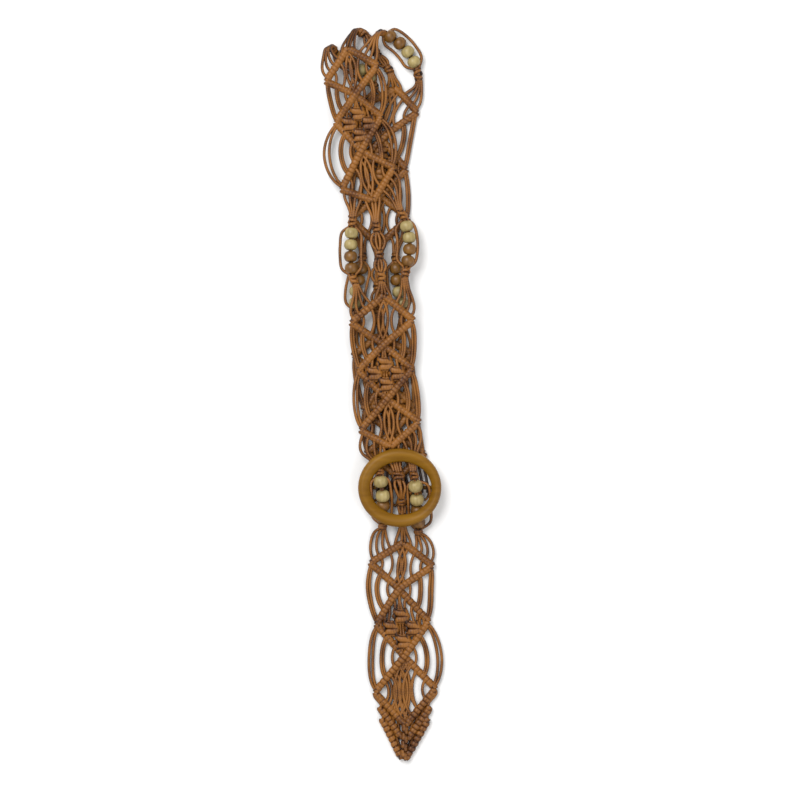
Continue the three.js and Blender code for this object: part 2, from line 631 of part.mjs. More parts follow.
function beadColumn(column, stretch) {
  const at = routeOf(column, stretch);
  const pitch = beadLength + beadGap;
  const start = column.beadsFrom * (stretch.end - stretch.start);
  // Beads after the first stand further on where the cords between them bend over the crossbar
  const beads = [];
  for (let i = 0; i < beadsInColumn; i += 1) {
    const last = beads[i - 1];
    const spread = i > 0 ? column.spread[i - 1] * crossbarSize : 0;
    const from = i === 0 ? start : onward(at, last.to, spread);
    beads.push({ from, to: onward(at, from, pitch) });
  }
  const end = beads[beads.length - 1].to;
  const firstKnot = onward(at, start, -knotLength / 2 - 2 * beadGap);
  const lastKnot = onward(at, end, knotLength / 2 + 4 * beadGap);
  const joints = [...new Set(beads.flatMap(({ from, to }) => [from, to]))];
  const core = joints.map((distance) => ({ ...at(distance), width: coreSize, thickness: coreSize }));
  const rings = ringsAlong([...knotStops(at, firstKnot), ...core, ...knotStops(at, lastKnot)], barSection);
  const side = column.side;
  const above = cornersOf(stretch.above);
  const below = cornersOf(stretch.below);
  const cords = union([
    bodyThroughRings(withFans(
      rings,
      ringOnBar(above[5][side], above[6][side], fanFrom, fanTo),
      ringOnBar(below[1][side], below[0][side], fanFrom, fanTo),
    )),
    outerCord(at, firstKnot, lastKnot, -1),
    outerCord(at, firstKnot, lastKnot, 1),
  ]);
  const meshes = [new THREE.Mesh(toGeometry(seated(cords, stretch)), caramel)];
  meshes[0].name = `${side}_bead_cords_${stretch.number}`;
  beads.forEach(({ from, to }, i) => {
    const [a, b] = [at(from).point, at(to).point];
    const bead = new THREE.Mesh(beadGeometry(), i < beadsInColumn / 2 ? cream : brown);
    bead.position.copy(a.clone().lerp(b, 0.5));
    bead.quaternion.setFromUnitVectors(new THREE.Vector3(0, 1, 0), b.clone().sub(a).normalize());
    bead.name = `bead_${stretch.number}_${side}_${i + 1}`;
    meshes.push(bead);
  });
  return meshes;
}

// Middle column: three square knots on a band of cords, with a fan at each panel's point
function middleColumn(shares, stretch) {
  const length = stretch.end - stretch.start;
  const at = (distance) => place(stretch.start + distance, 0);
  const fan = { width: pointFanWidth, thickness: cordSize };
  const band = { width: 3 * cordSize, thickness: cordSize };
  const stops = [{ ...at(0), ...fan }];
  shares.forEach((share, i) => {
    if (i > 0) stops.push({ ...at((share + shares[i - 1]) / 2 * length), ...band });
    stops.push(...knotStops(at, share * length));
  });
  stops.push({ ...at(length), ...fan });
  const body = bodyThroughRings(ringsAlong(stops, barSection));
  const mesh = new THREE.Mesh(toGeometry(seated(body, stretch)), caramel);
  mesh.name = `middle_knot_cords_${stretch.number}`;
  return mesh;
}

// Ring buckle: a profile carried round an oval, and a crossbar that dips under its back
function ringBuckle() {
  const outer = ringWidth / 2;
  const points = rimProfile.map(({ inward, up }) => (
    new THREE.Vector2(outer - inward * ringRim, up * ringDepth)
  ));
  points.push(points[0].clone());
  const rim = new THREE.LatheGeometry(points, 24);
  rim.rotateX(Math.PI / 2);
  rim.scale(1, ringHeight / ringWidth, 1);
  const reach = outer - ringRim / 2;
  const places = crossbarStops.map(({ across, drop }) => ({
    point: new THREE.Vector3(across * reach, 0, -drop * crossbarDrop),
    up: new THREE.Vector3(0, 0, 1),
  }));
  const crossbar = carried(places, crossbarSize, crossbarSize, barSection);
  const buckle = new THREE.Mesh(toGeometry(fromGeometry(rim).add(crossbar)), ochre);
  buckle.name = 'ring_buckle';
  buckle.position.copy(ringCentre);
  buckle.rotation.x = THREE.MathUtils.degToRad(-ringTilt);
  return buckle;
}

// The whole belt
const belt = new THREE.Group();
for (const panel of panels) {
  panel.start = stationOf(panel.from);
  panel.end = stationOf(panel.to);
}
panels.forEach((panel, i) => {
  const bodies = [...barsOf(panel), ...websOf(panel), ...filledOf(panel)];
  if (i === 0) bodies.push(...startOf(panel));
  if (i === panels.length - 1) bodies.push(...tipOf(panel));
  const mesh = new THREE.Mesh(toGeometry(union(bodies)), caramel);
  mesh.name = `diamond_panel_${i + 1}`;
  belt.add(mesh);
});
stretches.forEach(({ middleKnots, columns }, i) => {
  const [above, below] = [panels[i], panels[i + 1]];
  const stretch = { number: i + 1, above, below, start: above.end, end: below.start };
  for (const column of columns) belt.add(...beadColumn(column, stretch));
  belt.add(middleColumn(middleKnots, stretch));
});
belt.add(ringBuckle());

// The origin goes under the middle of the whole belt
belt.updateMatrixWorld(true);
const whole = new THREE.Box3().setFromObject(belt, true);
belt.position.set(-(whole.min.x + whole.max.x) / 2, -(whole.min.y + whole.max.y) / 2, -whole.min.z);

export default belt;
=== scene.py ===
import bpy
import numpy as np
from mathutils import Matrix, Vector


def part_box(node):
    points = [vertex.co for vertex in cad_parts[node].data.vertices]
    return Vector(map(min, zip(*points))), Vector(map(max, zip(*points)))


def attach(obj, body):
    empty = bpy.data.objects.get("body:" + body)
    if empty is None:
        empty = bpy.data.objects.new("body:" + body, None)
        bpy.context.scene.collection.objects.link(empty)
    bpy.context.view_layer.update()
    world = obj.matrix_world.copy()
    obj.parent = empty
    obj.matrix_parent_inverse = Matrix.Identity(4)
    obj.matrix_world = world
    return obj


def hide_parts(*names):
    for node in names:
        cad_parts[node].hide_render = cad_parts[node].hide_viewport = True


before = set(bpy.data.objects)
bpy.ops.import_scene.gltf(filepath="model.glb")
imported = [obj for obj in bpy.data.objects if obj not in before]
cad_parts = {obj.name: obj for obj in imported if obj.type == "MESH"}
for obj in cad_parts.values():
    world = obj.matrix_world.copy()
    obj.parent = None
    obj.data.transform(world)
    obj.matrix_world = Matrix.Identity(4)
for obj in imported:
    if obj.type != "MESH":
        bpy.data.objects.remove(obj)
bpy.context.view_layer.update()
print("frame loaded")

# Sizes in metres
belt = {
    "laidLength": 0.739, "strapWidth": 0.063, "cord": 0.0031, "barWidth": 0.0078, "barThickness": 0.007,
    "knotWidth": 0.0094, "knotLength": 0.0086, "knotHeight": 0.0050, "bead": 0.0135, "beadLength": 0.0112,
    "crossbar": 0.0044, "ringShift": 0.0012, "cordSides": 10, "dyeStep": 0.37,
}

# The strap's route from the crossbar round the fold to the tip, one row a place. Columns: across (share of
# the strap's width), along (share of the laid length), height in bars, height in beads, degrees turned
route = np.array([
    [0.008, 0.0055, 1.15, 0, 0], [0.002, 0.014, 0.8, 0, 0], [-0.024, 0.035, 0.5, 0, 0],
    [-0.088, 0.065, 0.5, 0, 1], [-0.167, 0.119, 0.5, 0, 2], [-0.247, 0.174, 0.5, 0, 2],
    [-0.295, 0.208, 0.5, 0, 1], [-0.327, 0.242, 0, 0.5, 0], [-0.335, 0.269, 0, 0.5, 0],
    [-0.327, 0.303, 0, 0.5, 0], [-0.319, 0.33, 0.5, 0, 0], [-0.311, 0.357, 0.5, 0, 0],
    [-0.295, 0.391, 0.5, 0, 0], [-0.279, 0.459, 0.5, 0, -2], [-0.215, 0.5, 0.5, 0, -6],
    [-0.12, 0.525, 0.5, 0, -4], [-0.072, 0.544, 0.53, 0, 6], [-0.1, 0.556, 0.02, 0.5, 14],
    [-0.152, 0.568, 0, 0.5, 22], [-0.327, 0.583, 0, 0.5, 32], [-0.518, 0.596, 0, 0.5, 30],
    [-0.662, 0.601, 0.02, 0.55, 24], [-0.735, 0.6065, 0.3, 0.78, 18], [-0.789, 0.603, 0.56, 1.03, 12],
    [-0.805, 0.5965, 0.58, 1.06, 8], [-0.758, 0.571, 0.55, 1.04, 5], [-0.702, 0.538, 0.6, 0.94, 4],
    [-0.646, 0.5, 1.57, 0, 3], [-0.598, 0.461, 1.57, 0, 4], [-0.502, 0.425, 1.57, 0, 5],
    [-0.407, 0.39, 1.6, 0.02, 4], [-0.359, 0.357, 1.07, 0.53, 3], [-0.311, 0.323, 1.36, 0.53, 2],
    [-0.279, 0.289, 0.88, 0.83, 1], [-0.239, 0.261, 0.78, 0.83, 0], [-0.239, 0.228, 0.7, 0.76, 0],
    [-0.239, 0.194, 1.57, 0, 0], [-0.215, 0.16, 1.57, 0, 1], [-0.183, 0.121, 1.57, 0, 2],
    [-0.152, 0.088, 1.57, 0, 2], [-0.12, 0.055, 1.57, 0, 2], [-0.06, 0.035, 1.57, 0, 1],
    [-0.02, 0.024, 1.8, 0, 1], [0.01, 0.008, 2.6, 0, 0], [0.03, -0.001, 2.9, 0, 0],
    [0.04, -0.01, 2.45, 0, 0], [0.046, -0.018, 1.6, 0, 0], [0.052, -0.026, 0.08, 0.5, 0],
    [0.06, -0.037, 0.02, 0.5, 0], [0.065, -0.053, 0.02, 0.5, 0], [0.07, -0.066, 0.52, 0, 0],
    [0.072, -0.0755, 0.5, 0, 0], [0.056, -0.103, 0.5, 0, 0], [0.008, -0.138, 0.5, 0, 0],
    [0.04, -0.18, 0.5, 0, 0], [0.088, -0.23, 0.5, 0, 0], [0.096, -0.275, 0.5, 0, 0],
    [0.104, -0.324, 0.5, 0, 0], [0.08, -0.373, 0.5, 0, 0],
])
panelRows = [(1, 6), (10, 16), (24, 30), (34, 40), (51, 57)]  # rows where each panel starts and ends

# Where a panel's two leading cords turn and cross. Columns: left along, left across, right along, right
# across, in shares of the panel's length and of half its width
forms = {
    "even": np.array([[0, 0, 0, 0], [0.17, -0.93, 0.17, 0.93], [0.31, 0, 0.31, 0], [0.48, -0.83, 0.48, 0.83],
                      [0.67, 0, 0.67, 0], [0.86, -0.93, 0.86, 0.93], [1, 0, 1, 0]]),
    "fold": np.array([[0, 0, 0, 0], [0.203, -0.86, 0.128, 0.83], [0.301, 0, 0.301, 0],
                      [0.478, -0.72, 0.454, 0.75], [0.667, 0, 0.667, 0], [0.91, -0.91, 0.795, 0.9],
                      [1, 0, 1, 0]]),
    "front": np.array([[0, 0, 0, 0], [0.179, -1.04, 0.162, 0.95], [0.325, 0, 0.325, 0],
                       [0.49, -0.86, 0.487, 0.88], [0.682, 0, 0.682, 0], [0.881, -0.92, 0.841, 0.97],
                       [1, 0, 1, 0]]),
    "tip": np.array([[0, 0, 0, 0], [0.109, -1.02, 0.126, 0.99], [0.251, 0, 0.251, 0],
                     [0.448, -0.81, 0.432, 0.88], [0.623, 0, 0.623, 0], [0.82, -0.95, 0.8, 0.99],
                     [1, 0, 1, 0]]),
}
panelForms = ["even", "even", "fold", "front", "tip"]

# Stretches between the panels: shares of the length for the middle knots, and for each side column the rows
# of along and across, and how far its two outer cords bow from the beads' middle (left cord, right cord)
stretches = [
    {"middle": [0.28, 0.54, 0.8],
     "left": [[0, -0.55], [0.3, -0.72], [0.52, -0.68], [0.75, -0.52], [1, -0.5]],
     "right": [[0, 0.6], [0.3, 0.8], [0.52, 0.64], [0.75, 0.58], [1, 0.55]],
     "bows": {"left": (0.0105, 0.0095), "right": (0.0095, 0.0105)}},
    {"middle": [0.25, 0.48, 0.7],
     "left": [[0, -0.62], [0.25, -0.64], [0.5, -0.66], [0.78, -0.7], [1, -0.6]],
     "right": [[0, 0.8], [0.25, 0.86], [0.5, 0.88], [0.78, 0.94], [1, 0.7]],
     "bows": {"left": (0.0092, 0.0092), "right": (0.0105, 0.0098)}},
    {"middle": [0.29, 0.57, 0.8],
     "left": [[0, -0.6], [0.25, -0.76], [0.5, -0.9], [0.75, -0.92], [1, -0.75]],
     "right": [[0, 0.65], [0.25, 0.95], [0.5, 1.0], [0.75, 0.8], [1, 0.6]],
     "bows": {"left": (0.0106, 0.0106), "right": (0.0122, 0.008)}},
    {"middle": [0.3, 0.58, 0.76],
     "left": [[0, -0.5], [0.25, -0.58], [0.5, -0.58], [0.75, -0.63], [1, -0.64]],
     "right": [[0, 0.5], [0.25, 0.5], [0.5, 0.5], [0.75, 0.5], [1, 0.5]],
     "bows": {"left": (0.0108, 0.009), "right": (0.009, 0.0135)}},
]


# Places on the strap

ringLow, ringHigh = (np.array(v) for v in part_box("ring_buckle"))
shift = np.array([
    (ringLow[0] + ringHigh[0]) / 2 - belt["ringShift"],
    (ringLow[1] + ringHigh[1]) / 2,
    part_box("diamond_panel_5")[0][2],
])
routePoints = np.column_stack([
    route[:, 0] * belt["strapWidth"],
    route[:, 1] * belt["laidLength"],
    route[:, 2] * belt["barThickness"] + route[:, 3] * belt["bead"],
])
stations = np.concatenate([[0], np.cumsum(np.linalg.norm(np.diff(routePoints, axis=0), axis=1))])


def roundSlopes(knots, values):
    # the mean rise past each knot
    slopes = np.empty_like(values)
    slopes[1:-1] = (values[2:] - values[:-2]) / (knots[2:] - knots[:-2])
    slopes[0] = (values[1] - values[0]) / (knots[1] - knots[0])
    slopes[-1] = (values[-1] - values[-2]) / (knots[-1] - knots[-2])
    return slopes


def steadySlopes(knots, values):
    # harmonic mean of the rises each side, none where they turn, so the curve never swings past a value
    rises = np.diff(values) / np.diff(knots)
    before, after = rises[:-1], rises[1:]
    total = np.where(before + after == 0, 1, before + after)
    middle = np.where(before * after <= 0, 0, 2 * before * after / total)
    return np.concatenate([[0], middle, [0]])


def onCurve(knots, values, slopes, s):
    # cubic between two knots from their values and slopes, straight on past the last
    s = np.asarray(s, float)
    i = np.clip(np.searchsorted(knots, s, "right") - 1, 0, len(knots) - 2)
    span = knots[i + 1] - knots[i]
    t = (s - knots[i]) / span
    rise = values[i + 1] - values[i]
    start, end = slopes[i] * span, slopes[i + 1] * span
    inside = values[i] + start * t + (3 * rise - 2 * start - end) * t**2 + (start + end - 2 * rise) * t**3
    beyond = values[i + 1] + slopes[i + 1] * (s - knots[i + 1])
    return np.where(t > 1, beyond, inside)


routeCurves = [
    (routePoints[:, 0], roundSlopes(stations, routePoints[:, 0])),
    (routePoints[:, 1], roundSlopes(stations, routePoints[:, 1])),
    (routePoints[:, 2], steadySlopes(stations, routePoints[:, 2])),
    (np.radians(route[:, 4]), roundSlopes(stations, np.radians(route[:, 4]))),
]


def unit(v):
    return v / np.maximum(np.linalg.norm(v, axis=-1, keepdims=True), 1e-12)


def strapAxes(s):
    # middle of the strap, the way across it and its own up at stations s
    step = 0.0005
    here, ahead, back = ([onCurve(stations, v, k, s + d) for v, k in routeCurves] for d in (0, step, -step))
    cross = np.stack([np.cos(here[3]), np.sin(here[3]), np.zeros_like(here[3])], -1)
    forward = np.stack(ahead[:3], -1) - np.stack(back[:3], -1)
    return np.stack(here[:3], -1), cross, unit(np.cross(forward, cross))


# Over the fold the middle column stands out further than the strap's own route
crest = {"from": stations[17], "to": stations[24], "reach": 0.014, "skew": 1.8, "move": [0.002, 0.0175, 0.0]}


def onStrap(spots):
    # spots are (..., 3): station, across and lift; the place is middle + across * cross + lift * up
    spots = np.asarray(spots, float)
    middle, cross, up = strapAxes(spots[..., 0])
    share = np.clip((spots[..., 0] - crest["from"]) / (crest["to"] - crest["from"]), 0, 1)
    near = np.clip(1 - np.abs(spots[..., 1]) / crest["reach"], 0, 1)
    out = (np.sin(np.pi * share**crest["skew"])**2 * near)[..., None] * np.array(crest["move"])
    return middle + spots[..., 1:2] * cross + spots[..., 2:3] * up + shift + out


# Cords as swept tubes

def reflected(v, mirror):
    size = np.maximum(np.sum(mirror * mirror, -1, keepdims=True), 1e-18)
    return v - 2 * np.sum(mirror * v, -1, keepdims=True) / size * mirror


def squareTo(v, way):
    # unit vector of what is left of v without its part along way
    return unit(v - np.sum(v * way, -1, keepdims=True) * way)


def sweep(paths, radius, normals=None, wide=1.0, sides=None):
    # ring point = path + radius * (cos a * normal + wide * sin a * binormal), for all cords at once. If no
    # normals are given, the first is square to the path and each next one is the last, reflected twice
    paths = np.asarray(paths, float)
    sides = sides or belt["cordSides"]
    count, length = paths.shape[:2]
    tangents = unit(np.gradient(paths, axis=1))
    if normals is None:
        normals = np.empty_like(paths)
        guess = np.where(np.abs(tangents[:, :1, 2:3]) > 0.9, [[[1.0, 0, 0]]], [[[0, 0, 1.0]]])[:, 0]
        normals[:, 0] = squareTo(guess, tangents[:, 0])
        for i in range(1, length):
            move = paths[:, i] - paths[:, i - 1]
            turned = reflected(tangents[:, i - 1], move)
            normals[:, i] = reflected(reflected(normals[:, i - 1], move), tangents[:, i] - turned)
    else:
        normals = squareTo(normals, tangents)
    binormals = np.cross(tangents, normals)
    angles = 2 * np.pi * np.arange(sides) / sides
    radii = np.broadcast_to(np.asarray(radius, float), (count, length))[..., None, None]
    ring = (np.cos(angles)[:, None] * normals[..., None, :]
            + wide * np.sin(angles)[:, None] * binormals[..., None, :])
    points = (paths[..., None, :] + radii * ring).reshape(-1, 3)
    base = np.arange(count)[:, None, None] * length * sides
    row = np.arange(length - 1)[None, :, None] * sides
    j = np.arange(sides)[None, None, :]
    k = (j + 1) % sides
    quads = np.stack([base + row + j, base + row + k, base + row + sides + k, base + row + sides + j], -1)
    # u is the way along the cord, and each cord starts a dye step further on in the pattern
    strides = np.linalg.norm(np.diff(paths, axis=1), axis=-1)
    travel = np.concatenate([np.zeros((count, 1)), np.cumsum(strides, 1)], 1)
    travel = travel + belt["dyeStep"] * np.arange(count)[:, None]
    u0, u1 = travel[:, :-1, None] + 0 * j, travel[:, 1:, None] + 0 * j
    v0, v1 = j / sides + 0 * u0, (j + 1) / sides + 0 * u0
    uv = np.stack([np.stack([u0, v0], -1), np.stack([u0, v1], -1), np.stack([u1, v1], -1),
                   np.stack([u1, v0], -1)], -2)
    quads, uv = quads.reshape(-1, 4), uv.reshape(-1, 4, 2)
    # ends closed with a fan of quads across the ring
    strips = np.array([[0, i, i + 1, i + 2] for i in range(1, sides - 1, 2)])
    starts = (base + strips[None, :, ::-1]).reshape(-1, 4)
    ends = (base + (length - 1) * sides + strips[None]).reshape(-1, 4)
    caps = np.concatenate([starts, ends])
    return points, np.concatenate([quads, caps]), np.concatenate([uv, np.zeros((len(caps), 4, 2))])


def cords(paths, thick=1.0, sides=None):
    return sweep(paths, belt["cord"] / 2 * thick, sides=sides)


def addPiece(name, parts, material, nodes):
    # one closed mesh from many swept parts, riding on the belt's only body
    points, quads, uvs, offset = [], [], [], 0
    for p, q, t in parts:
        points.append(p)
        quads.append(q + offset)
        uvs.append(t)
        offset += len(p)
    points, quads, uvs = np.concatenate(points), np.concatenate(quads), np.concatenate(uvs)
    points[:, 2] = np.maximum(points[:, 2], shift[2])  # what rests is pressed flat on the floor
    mesh = bpy.data.meshes.new(name)
    mesh.vertices.add(len(points))
    mesh.vertices.foreach_set("co", points.ravel())
    mesh.loops.add(quads.size)
    mesh.loops.foreach_set("vertex_index", quads.ravel())
    mesh.polygons.add(len(quads))
    mesh.polygons.foreach_set("loop_start", np.arange(len(quads)) * 4)
    mesh.polygons.foreach_set("loop_total", np.full(len(quads), 4))
    mesh.polygons.foreach_set("use_smooth", np.ones(len(quads), bool))
    layer = mesh.uv_layers.new(name="alongCord")
    layer.data.foreach_set("uv", uvs.ravel())
    mesh.update(calc_edges=True)
    mesh.validate()
    mesh.materials.append(material)
    piece = bpy.data.objects.new(name, mesh)
    bpy.context.collection.objects.link(piece)
    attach(piece, "root")
    if nodes:
        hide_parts(*nodes)


def smoothPaths(stops, count):
    # curve through stops (cords, stops, 3), evenly spaced by chord, with the mean slope at each stop
    stops = np.asarray(stops, float)
    out = []
    for line in stops:
        knots = np.concatenate([[0], np.cumsum(np.linalg.norm(np.diff(line, axis=0), axis=1) + 1e-9)])
        t = np.linspace(0, knots[-1], count)
        out.append(np.stack([onCurve(knots, v, roundSlopes(knots, v), t) for v in line.T], -1))
    return np.array(out)


def bezier(start, leave, arrive, end, count):
    # cubic with two handles, for many cords at once
    t = np.linspace(0, 1, count)[:, None]
    a, b, c, d = (np.asarray(v, float)[:, None, :] for v in (start, leave, arrive, end))
    return a * (1 - t)**3 + 3 * b * t * (1 - t)**2 + 3 * c * t**2 * (1 - t) + d * t**3


# Knotted bars: a leading cord with the other cords hitched round it

barLooks = {
    "wrapsAlong": 10, "stationsAWrap": 16, "slant": -0.0008, "wide": 2.0, "cross": 0.0016, "round": 0.2,
    "thin": 0.92, "core": 1.72, "wobble": 0.03, "wobbleTurn": 0.37, "wobbleStart": 900,
}


def coiledBar(spots, lifts=None, wraps=None, width=None):
    # path = leader + radius * (cos a * up + sin a * side) + ahead * (share of turns + slant * sin a)
    spots = np.asarray(spots, float)
    lifts = np.zeros(len(spots)) if lifts is None else np.asarray(lifts, float)
    arms = len(spots) - 1
    wraps = (wraps or barLooks["wrapsAlong"]) * arms
    count = wraps * barLooks["stationsAWrap"] + 1
    t = np.linspace(0, arms, count)
    # straight arms with rounded corners: the mean of seven places from a little before to a little after
    near = [np.clip(t + d, 0, arms) for d in np.linspace(-barLooks["round"], barLooks["round"], 7)]
    knots = np.arange(arms + 1)
    line = np.mean([[np.interp(n, knots, v) for v in (*spots.T, lifts)] for n in near], axis=0)
    line[:, 0], line[:, -1] = [*spots[0], lifts[0]], [*spots[-1], lifts[-1]]
    middle = onStrap(line.T)
    ahead = unit(np.gradient(middle, axis=0))
    up = strapAxes(line[0])[2]
    side = unit(np.cross(ahead, up))
    up = np.cross(side, ahead)
    a = 2 * np.pi * wraps * np.linspace(0, 1, count)
    thin = belt["cord"] / 2 * barLooks["thin"]
    acrossSize, upSize = (width or belt["barWidth"]) / 2 - thin, belt["barThickness"] / 2 - thin
    # no two wraps are quite the same size
    phase = a * barLooks["wobbleTurn"] + spots[0, 0] * barLooks["wobbleStart"]
    wobble = 1 + barLooks["wobble"] * np.sin(phase)[:, None]
    radial = np.cos(a)[:, None] * up * upSize + np.sin(a)[:, None] * side * acrossSize
    path = middle + radial * wobble + ahead * (barLooks["slant"] * np.sin(a))[:, None]
    coil = sweep(path[None], thin, radial[None], wide=barLooks["wide"])
    return [coil, cords(middle[None, ::8], barLooks["core"], sides=8)]


def spotsAlong(start, end, shares):
    shares = np.asarray(shares, float)[:, None]
    return np.asarray(start) * (1 - shares) + np.asarray(end) * shares


def cornersOf(number):
    first, last = panelRows[number]
    form = forms[panelForms[number]]
    start, length = stations[first], stations[last] - stations[first]
    half = belt["strapWidth"] / 2
    left = np.column_stack([start + form[:, 0] * length, form[:, 1] * half])
    right = np.column_stack([start + form[:, 2] * length, form[:, 3] * half])
    return {"left": left, "right": right, "start": start, "length": length}


# Bare cords between two bars

webLooks = {
    # shares of the bar from its corner where the five cords leave, and their lift: pairs lie on each other
    "inner": [0.10, 0.32, 0.58, 0.80, 0.92],
    "outer": [0.05, 0.10, 0.38, 0.43, 0.70],
    "lifts": [0.0006, -0.0012, 0.0008, -0.001, 0.0002],
    "handleLift": 1.4, "pull": 0.34, "outerPull": [0.25, 0.23, 0.3], "knotPull": 0.4, "stations": 22,
}


onward, backward = [1.0, 0.0], [-1.0, 0.0]  # ways in (station, across)


def squareOff(corner, far, towards):
    # the way that leaves a bar square to it, on the side of towards
    run = unit(np.asarray(far) - np.asarray(corner))
    normal = np.array([-run[1], run[0]])
    return normal if normal @ np.asarray(towards) > 0 else -normal


def bareCords(cornerA, farA, cornerB, farB, shares, lifts, pull):
    # cords leave bar A square to it and arrive square to bar B. Bars run from their corner to their far end
    a, b = spotsAlong(cornerA, farA, shares), spotsAlong(cornerB, farB, shares)
    gap = np.linalg.norm(b - a, axis=1, keepdims=True)
    squareA = squareOff(cornerA, farA, np.mean(b - a, axis=0))
    squareB = squareOff(cornerB, farB, np.mean(a - b, axis=0))
    pull = np.asarray(pull, float)[:, None]
    low = np.zeros((len(a), 1))
    lift = np.asarray(lifts, float)[:, None] * webLooks["handleLift"]
    paths = bezier(np.hstack([a, low]), np.hstack([a + squareA * gap * pull, lift]),
                   np.hstack([b + squareB * gap * pull, lift]), np.hstack([b, low]), webLooks["stations"])
    return cords(onStrap(paths))


# Square knots

# Stops of the two working cords, the one that starts in front and the one that starts behind. Columns: share
# of half the width, share of the length, share of half the height
knotFront = [
    [-0.75, -0.55, 0.0], [-0.85, -0.36, 0.35], [-0.3, -0.24, 0.95], [0.35, -0.22, 0.95], [0.82, -0.16, 0.75],
    [1.08, 0.0, 0.55], [0.82, 0.16, 0.75], [0.3, 0.24, 0.95], [-0.35, 0.24, 0.95], [-0.85, 0.34, 0.1],
    [-0.8, 0.55, -0.1],
]
knotBack = [
    [0.75, -0.55, 0.0], [0.9, -0.36, 0.55], [0.8, -0.25, -0.2], [0.2, -0.2, -0.95], [-0.75, -0.14, -0.5],
    [-1.08, 0.0, 0.45], [-0.8, 0.12, -0.3], [-0.2, 0.22, -0.95], [0.5, 0.26, -0.8], [0.9, 0.36, 0.3],
    [0.8, 0.55, 0.1],
]
knotLooks = {"stations": 34, "core": 0.22, "coreEnd": 0.55}


def squareKnot(station, across, lean=0.0, width=None, length=None, flip=1, wide=1.35, thick=0.93):
    # two working cords cross in front of and behind two straight ones, twice
    width, length = width or belt["knotWidth"], length or belt["knotLength"]
    run = np.linspace(-knotLooks["coreEnd"], knotLooks["coreEnd"], len(knotFront))
    cores = [np.column_stack([0 * run + side * knotLooks["core"], run, 0 * run]) for side in (-1, 1)]
    size = [flip * (width - belt["cord"]) / 2, length, belt["knotHeight"] / 2]
    local = smoothPaths(np.array([knotFront, knotBack, *cores]) * size, knotLooks["stations"])
    x, y, z = (local[..., k] for k in range(3))
    spots = np.stack([station + y, across + x + lean * y, z], -1)
    # flat sides face outwards from the knot's middle, so that the broad way of a wrap runs along the strap
    _, cross, up = strapAxes(spots[..., 0])
    outwards = x[..., None] / width * cross + z[..., None] / belt["knotHeight"] * up
    outwards[2:] = up[2:] * np.sign(np.mean(up[..., 2]) + 1e-9)
    return sweep(onStrap(spots), belt["cord"] / 2 * thick, outwards, wide=wide)


def knotPorts(station, across, end, lean=0.0, width=None, length=None):
    # where the four cords enter (end -1) or leave (end 1) a square knot, left to right
    width, length = width or belt["knotWidth"], length or belt["knotLength"]
    core = knotLooks["core"]
    u = np.array([-0.75, -core, core, 0.75]) * (width - belt["cord"]) / 2
    v = end * 0.5 * length
    return np.column_stack([np.full(4, station + v), across + u + lean * v, np.zeros(4)])


def portCords(starts, startWays, ends, endWays, lifts=0.0):
    # cords from one set of ends to another, leaving and arriving along the given ways in (station, across)
    starts, ends = np.asarray(starts, float), np.asarray(ends, float)
    gap = np.linalg.norm(ends[:, :2] - starts[:, :2], axis=1, keepdims=True)
    pull = webLooks["knotPull"]
    bend = np.broadcast_to(np.asarray(lifts, float), (len(starts),))[:, None]
    leave = np.hstack([starts[:, :2] + np.asarray(startWays) * gap * pull, starts[:, 2:3] + bend])
    arrive = np.hstack([ends[:, :2] + np.asarray(endWays) * gap * pull, ends[:, 2:3] + bend])
    return cords(onStrap(bezier(starts, leave, arrive, ends, webLooks["stations"])))


def flat(spots):
    spots = np.asarray(spots, float)
    return np.hstack([spots, np.zeros((len(spots), 1))])


# Diamond panels

# How far the outermost cords swing out at a panel's first and second crossing: (left, right) of each
bulges = [((0.15, 0.1), (0.15, 0.1)), ((0.15, 0.12), (0.15, 0.1)), ((0.13, 0.3), (0.36, 0.4)),
          ((0.15, 0.2), (0.22, 0.16)), ((0.13, 0.2), (0.24, 0.27))]


def panelParts(number):
    corners = cornersOf(number)
    left, right = corners["left"], corners["right"]
    parts = []
    atTip = number == 4
    # the leading cords carry the bars from side to side; from upper right to lower left they lie on top
    for first, second, lift in ((left, right, -barLooks["cross"]), (right, left, barLooks["cross"])):
        parts += coiledBar([first[0], first[1]])
        parts += coiledBar([first[1], first[2], second[3]], [0, lift, 0])
        parts += coiledBar([second[3], second[4], first[5]], [0, -lift, 0])
        parts += coiledBar([first[5], first[6]])
    for side, spots in enumerate((left, right)):
        for first in (0, 4):
            shares = tipLooks["cords"][side] if atTip and first == 4 else webLooks["inner"]
            parts.append(bareCords(spots[first + 1], spots[first], spots[first + 1], spots[first + 2],
                                   shares, webLooks["lifts"], [webLooks["pull"]] * 5))
        for k, crossing in enumerate((2, 4)):
            most = bulges[number][k][side]
            parts.append(bareCords(spots[crossing - 1], spots[crossing], spots[crossing + 1], spots[crossing],
                                   webLooks["outer"], webLooks["lifts"],
                                   [most, most * 0.75, *webLooks["outerPull"]]))
    parts += filledParts(left, right)
    if atTip:
        parts += tipParts(corners)
    return parts


filledLooks = {
    "top": -0.2, "side": 0.16, "low": 0.56, "across": 0.42, "width": 0.0164, "length": 0.013,
    "wide": 1.75, "thick": 1.2, "fan": [0.3, 0.5, 0.72, 0.9],
    "edge": [0.12, 0.22], "edgeLifts": [0.0004, -0.001], "sink": -0.0024, "inLift": 0.0006, "outLift": 0.0004,
}


